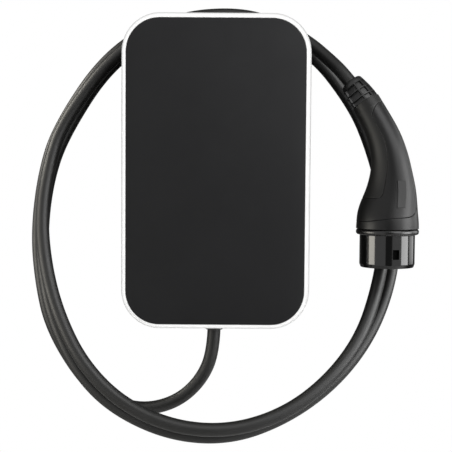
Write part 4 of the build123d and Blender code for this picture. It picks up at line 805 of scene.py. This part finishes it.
def makeBoot():
    length, footRadius, tipRadius = boot["length"], boot["footRadius"], boot["tipRadius"]
    edgeRows = np.array(boot["edgeRows"])
    rowPlaces = [0.0, boot["footRow"]]
    for start, end in boot["rings"]:
        rowPlaces += (start + edgeRows).tolist()
        rowPlaces += np.linspace(start + edgeRows[-1], end - edgeRows[-1], 5)[1:-1].tolist()
        rowPlaces += (end - edgeRows[::-1]).tolist()
    rowPlaces += [boot["tipRow"], length - boot["lipRound"]]
    meanRadius = (footRadius + tipRadius) / 2
    pockets = sorted((side * middle, half, depth) for side in (-1, 1)
                     for middle, half, depth in boot["pockets"])
    columns = []
    for middle, half, depth in pockets:
        edge = np.radians(half) - edgeRows / meanRadius
        offsets = np.concatenate([-edge, np.linspace(-edge[-1], edge[-1], 8)[1:-1], edge[::-1]])
        columns += [(np.radians(middle), np.radians(half), depth, offset) for offset in offsets]
    middle, half, depth, offset = np.array(columns).T
    around = (middle + offset)[None, :]
    distance = np.array(rowPlaces)[:, None]
    across = pocketMask(offset * meanRadius, half * meanRadius, boot["wall"])
    along = np.max([pocketMask(distance - (start + end) / 2, (end - start) / 2, boot["wall"])
                    for start, end in boot["rings"]], axis=0)
    cone = footRadius + (tipRadius - footRadius) / length * distance
    surface = cone + boot["bulge"] * np.sin(np.pi * distance / length)
    floor = (surface - depth) / np.cos(np.clip(np.abs(offset), 0, half))
    sides = bootPoint(distance, around, surface - (surface - floor) * across * along)
    bore, spigotRadius, fillet, lip = boot["bore"], boot["spigotRadius"], boot["fillet"], boot["lipRound"]
    profile = quarterRound((length - lip, tipRadius), (length, tipRadius - lip), steps=7,
                           alongFirst=True)[1:]
    profile += [(length - inwards, bore + wider) for inwards, wider in boot["mouth"]]
    profile += [(-boot["spigot"], bore), (-boot["spigot"], spigotRadius), (-fillet, spigotRadius),
                (0.0, spigotRadius + fillet), (0.0, footRadius - boot["footInset"])]
    place, radius = np.array(profile).T[..., None]
    points = np.concatenate([sides, bootPoint(place, around, radius)])
    faces = gridFaces(*points.shape[:2], ringColumns=True, ringRows=True)
    piece = meshPiece("plugBoot", plugToRow(points), faces, "bootRubber", 50.0)
    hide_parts("plug_boot")
    return piece


plugBoot = makeBoot()

# Shroud: a profile turned about the plug's axis, and the lock pocket sunk into it
nose = dict(radius=29.1, length=34.6, wall=3.0, edge=0.6, insert=-9.0, ledge=1.5, spigot=28.8,
            spigotHeight=9.0, spigotFillet=0.2, chamfer=0.5, flangeEdge=2.4, fillet=0.5, filletGap=0.1,
            rimHeight=3.4, rimInset=1.1, rimStep=(0.05, 0.15), mouth=[(0.0, 1.4), (0.25, 0.5), (0.9, 0.0)])
# Faces of the lock pocket sunk deeper than paintedShadeFrom of its depth take the matte black: painted
# shade of a deeper hole
lock = dict(turn=35.0, middle=-22.6, halfWidth=3.4, halfHeight=5.1, depth=2.6, wall=0.35,
            edgeRows=(-0.3, 0.0, 0.12, 0.24, 0.35, 0.7), paintedShadeFrom=0.6)


def makeNose():
    half, flange, wall = plug["flangeHeight"] / 2, plug["flangeRadius"], nose["radius"]
    rim = -half - nose["length"]
    shoulder = rim + nose["rimHeight"]
    rows = np.array(lock["edgeRows"])
    low, high = lock["middle"] - lock["halfHeight"], lock["middle"] + lock["halfHeight"]
    wallRows = np.concatenate([
        np.linspace(shoulder, low + rows[0], 8)[:-1], low + rows,
        np.linspace(low + rows[-1], high - rows[-1], 8)[1:-1], high - rows[::-1],
        np.linspace(high - rows[0], -half - nose["fillet"] - nose["filletGap"], 8)[1:],
    ])
    foot, edge = wall - nose["rimInset"], nose["edge"]
    fillet, flangeEdge = nose["fillet"], nose["flangeEdge"]
    profile = quarterRound((foot - edge, rim), (foot, rim + edge), steps=7, alongFirst=True)
    profile += [(wall - nose["rimStep"][0], shoulder - nose["rimStep"][1])]
    profile += [(wall, height) for height in wallRows]
    profile += quarterRound((wall, -half - fillet), (wall + fillet, -half), steps=7)[1:]
    profile += quarterRound((flange - flangeEdge, -half), (flange, -half + flangeEdge), steps=7,
                            alongFirst=True)
    profile += quarterRound((flange, half - flangeEdge), (flange - flangeEdge, half), steps=7)
    spigot, chamfer, top = nose["spigot"], nose["chamfer"], half + nose["spigotHeight"]
    cavity = wall - nose["wall"]
    profile += [(spigot + nose["spigotFillet"], half), (spigot, half + nose["spigotFillet"]),
                (spigot, top - chamfer), (spigot - chamfer, top), (cavity - nose["ledge"], top),
                (cavity - nose["ledge"], nose["insert"]), (cavity, nose["insert"])]
    profile += [(cavity + wider, rim + up) for wider, up in nose["mouth"]]
    radius, height = np.array(profile).T[..., None]
    edges = (lock["halfWidth"] - rows) / wall
    near = np.concatenate([-edges, np.linspace(-edges[-1], edges[-1], 6)[1:-1], edges[::-1]])
    offsets = np.concatenate([near, np.linspace(near[-1], 2 * np.pi + near[0], 180)[1:-1]])
    angles = offsets - np.pi / 2 + np.radians(lock["turn"])
    across = ((offsets + np.pi) % (2 * np.pi) - np.pi) * wall
    sunk = lock["depth"] * pocketMask(across, lock["halfWidth"], lock["wall"]) * pocketMask(
        height - lock["middle"], lock["halfHeight"], lock["wall"])
    radius = radius - sunk
    height = np.broadcast_to(height, radius.shape)
    points = np.stack([radius * np.cos(angles), radius * np.sin(angles), height], axis=-1)
    faces = gridFaces(*points.shape[:2], ringColumns=True, ringRows=True)
    piece = meshPiece("plugNose", plugToRow(points), faces, "noseGloss", 50.0)
    # The pocket's floor faces get the matte black: painted shade, as the real hole runs deeper than this
    # pocket
    piece.data.materials.append(finishes["paintedPocketShade"])
    piece.data.materials.append(finishes["flangeSatin"])
    onFloor = sunk.ravel()[faces].min(axis=1) > lock["paintedShadeFrom"] * lock["depth"]
    onFlange = (radius > wall + nose["spigotFillet"]).ravel()[faces].any(axis=1)
    piece.data.polygons.foreach_set("material_index", onFloor + 2 * onFlange)
    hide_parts("plug_nose")
    return piece


plugNose = makeNose()

# Bare plate on the grip's side: flat across, bent along it with the grip, with a rounded edge
plate = dict(turn=41.0, middle=39.8, halfWidth=4.7, halfHeight=13.7, raised=0.35, sunk=0.6, roll=0.35,
             rollSteps=4)


def makePlate():
    angle = -np.pi / 2 + np.radians(plate["turn"])
    middle, reach = shareAt(plate["middle"]), plate["halfHeight"] / gripLength
    upShares = rolledShares(2 * plate["halfHeight"] * mm, 26, plate["roll"] * mm)
    along = middle - reach + 2 * reach * upShares
    width, thickness = gripSection(along)[2:4]
    half = plate["halfWidth"] / np.hypot(width * np.sin(angle), thickness * np.cos(angle))
    shares = 2 * rolledShares(2 * plate["halfWidth"] * mm, 12, plate["roll"] * mm) - 1
    normal = gripNormal(along, angle)[:, None, :]
    chord = gripPoint(along, angle + half) - gripPoint(along, angle - half)
    chord /= np.linalg.norm(chord, axis=-1, keepdims=True)
    flat = chord[:, None, :] * (plate["halfWidth"] * shares)[:, None]
    surface = gripPoint(along, angle)[:, None, :] + flat
    down, right = (np.minimum(np.arange(count), np.arange(count)[::-1]) for count in surface.shape[:2])
    inward = 1 - np.minimum(np.minimum(down[:, None], right), plate["rollSteps"]) / plate["rollSteps"]
    outer = surface + normal * (plate["raised"] - plate["roll"] * circleRise(inward))[..., None]
    inner = surface - normal * plate["sunk"]
    piece = thickPiece("namePlate", outer.reshape(-1, 3), inner.reshape(-1, 3),
                       gridFaces(*surface.shape[:2]).tolist(), "barePlate")
    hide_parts("name_plate")
    return piece


namePlate = makePlate()
print("plug made")

plugPieces = [plugBoot, handleFront, handleBack, gripPad, plugCollar, namePlate, plugNose]
plugPieces += [nodes[name] for name in ("nose_seal", "contact_insert", "power_contacts", "signal_contacts",
                                        "cord_clamp", "clamp_screws", "handle_screws", "plug_cores")]


# Room: a pale floor well below, a surround that is white to the camera, a dark flag behind the
# camera, and soft lamps. What mirrors the surround sees it fade from white before the box to
# black behind it
room = dict(floor=-0.75, size=2.4, floorTones=(0.83, 0.87), surround=0.1, darkBehind=(0.15, -0.3),
            aim=(0.03, -0.06, -0.05))
flag = dict(place=(0.13, -2.4, 0.0), size=(1.1, 3.0), level=0.01, glow=0.15)


def stagedPlane(name, corners, material):
    mesh = bpy.data.meshes.new(name)
    mesh.from_pydata(corners, [], [(0, 1, 2, 3)])
    mesh.materials.append(material)
    plane = placed(name, mesh)
    return plane


def makeFloor():
    half, low = room["size"] / 2, room["floor"]
    shader = Shader("paleFloor", Roughness=0.9)
    dark, pale = room["floorTones"]
    shader.feed(Base_Color=shader.mixed(shader.noise(4.0, 2.0), rgb(dark), rgb(pale)))
    corners = [(-half, -half, low), (half, -half, low), (half, half, low), (-half, half, low)]
    stagedPlane("floor", corners, shader.material)


def makeFlag():
    x, y, z = flag["place"]
    wide, tall = flag["size"][0] / 2, flag["size"][1] / 2
    cloth = Shader("blackCloth", Roughness=1.0, Base_Color=rgb(flag["level"]), Specular_IOR_Level=0.0,
                   Emission_Color=rgb(1.0), Emission_Strength=flag["glow"])
    corners = [(x + side * wide, y, z + up * tall) for side, up in [(-1, -1), (1, -1), (1, 1), (-1, 1)]]
    stagedPlane("flag", corners, cloth.material).visible_camera = False


def makeSurround():
    world = bpy.data.worlds.new("surround")
    bpy.context.scene.world = world
    sky = Tree(world)
    ray = sky.node("ShaderNodeLightPath")
    away = sky.node("ShaderNodeSeparateXYZ", None, {0: sky.node("ShaderNodeTexCoord")}).part("Y")
    ends = {"Value": away, "From Min": room["darkBehind"][0], "From Max": room["darkBehind"][1]}
    fade = sky.node("ShaderNodeMapRange", dict(interpolation_type="SMOOTHSTEP"), ends)
    direct = sky.maths("MAXIMUM", ray.part("Is Camera Ray"), ray.part("Is Transmission Ray"))
    seen = sky.maths("MAXIMUM", direct, ray.part("Is Glossy Ray") * fade)
    soft, white = (sky.node("ShaderNodeBackground", None, dict(Color=rgb(1.0), Strength=strength))
                   for strength in (room["surround"], 1.0))
    mix = sky.node("ShaderNodeMixShader", None, {0: seen, 1: soft, 2: white})
    sky.link(sky.nodeTree.nodes["World Output"].inputs[0], mix)


# Each lamp has its place, size, radiance and colour, and the name of the pieces that it lights
warm, plain = (1.0, 0.96, 0.86), (1.0, 1.0, 1.0)
lamps = dict(
    right=((1.74, -0.68, 0.2), (1.05, 1.2), 7.6, plain, "rest"),
    rightWide=((1.25, -1.5, 0.5), (1.3, 1.3), 1.8, plain, "rest"),
    left=((-1.46, -0.54, -0.07), (0.85, 0.48), 8.0, warm, "low"),
    upper=((0.95, -1.3, 1.3), (1.3, 0.9), 4.4, plain, "rest"),
    upperLeft=((-1.4, -0.05, 0.85), (0.9, 0.5), 14.0, warm, "cable"),
    rightBehind=((1.48, 0.42, 0.3), (0.9, 1.1), 2.3, plain, "rest"),
    leftBehind=((-1.3, 0.3, 0.05), (0.6, 0.9), 0.8, plain, "cable"),
    front=((0.1, -2.1, 0.5), (1.4, 1.0), 9.0, plain, "frame"),
    beside=((-1.5, -1.3, 0.1), (0.6, 1.0), 1.2, plain, "frame"),
    above=((0.6, -0.47, 0.72), (0.45, 0.45), 18.0, plain, "panel"),
)
litPieces = dict(frame=framePieces, panel=[frontPanel], cable=[chargingCable])
unlitPieces = dict(rest=framePieces, low=[*framePieces, plugBoot])


def makeLamps():
    lit = {}
    for name, pieces in [*litPieces.items(), *unlitPieces.items()]:
        lit[name] = bpy.data.collections.new(name)
        for piece in pieces:
            lit[name].objects.link(piece)
    for name in unlitPieces:
        for member in lit[name].collection_objects:
            member.light_linking.link_state = "EXCLUDE"
    for name, (place, size, radiance, colour, group) in lamps.items():
        light = bpy.data.lights.new(name, "AREA")
        light.shape = "RECTANGLE"
        light.size, light.size_y = size
        light.color = colour
        light.energy = radiance * np.pi * light.size * light.size_y
        lamp = placed(name, light)
        lamp.location = place
        lamp.rotation_euler = (Vector(room["aim"]) - Vector(place)).to_track_quat("-Z", "Y").to_euler()
        lamp.visible_camera = False
        lamp.light_linking.receiver_collection = lit[group]


makeFloor()
makeFlag()
makeSurround()
makeLamps()
bpy.context.scene.view_settings.view_transform = "Standard"
print("room lit")
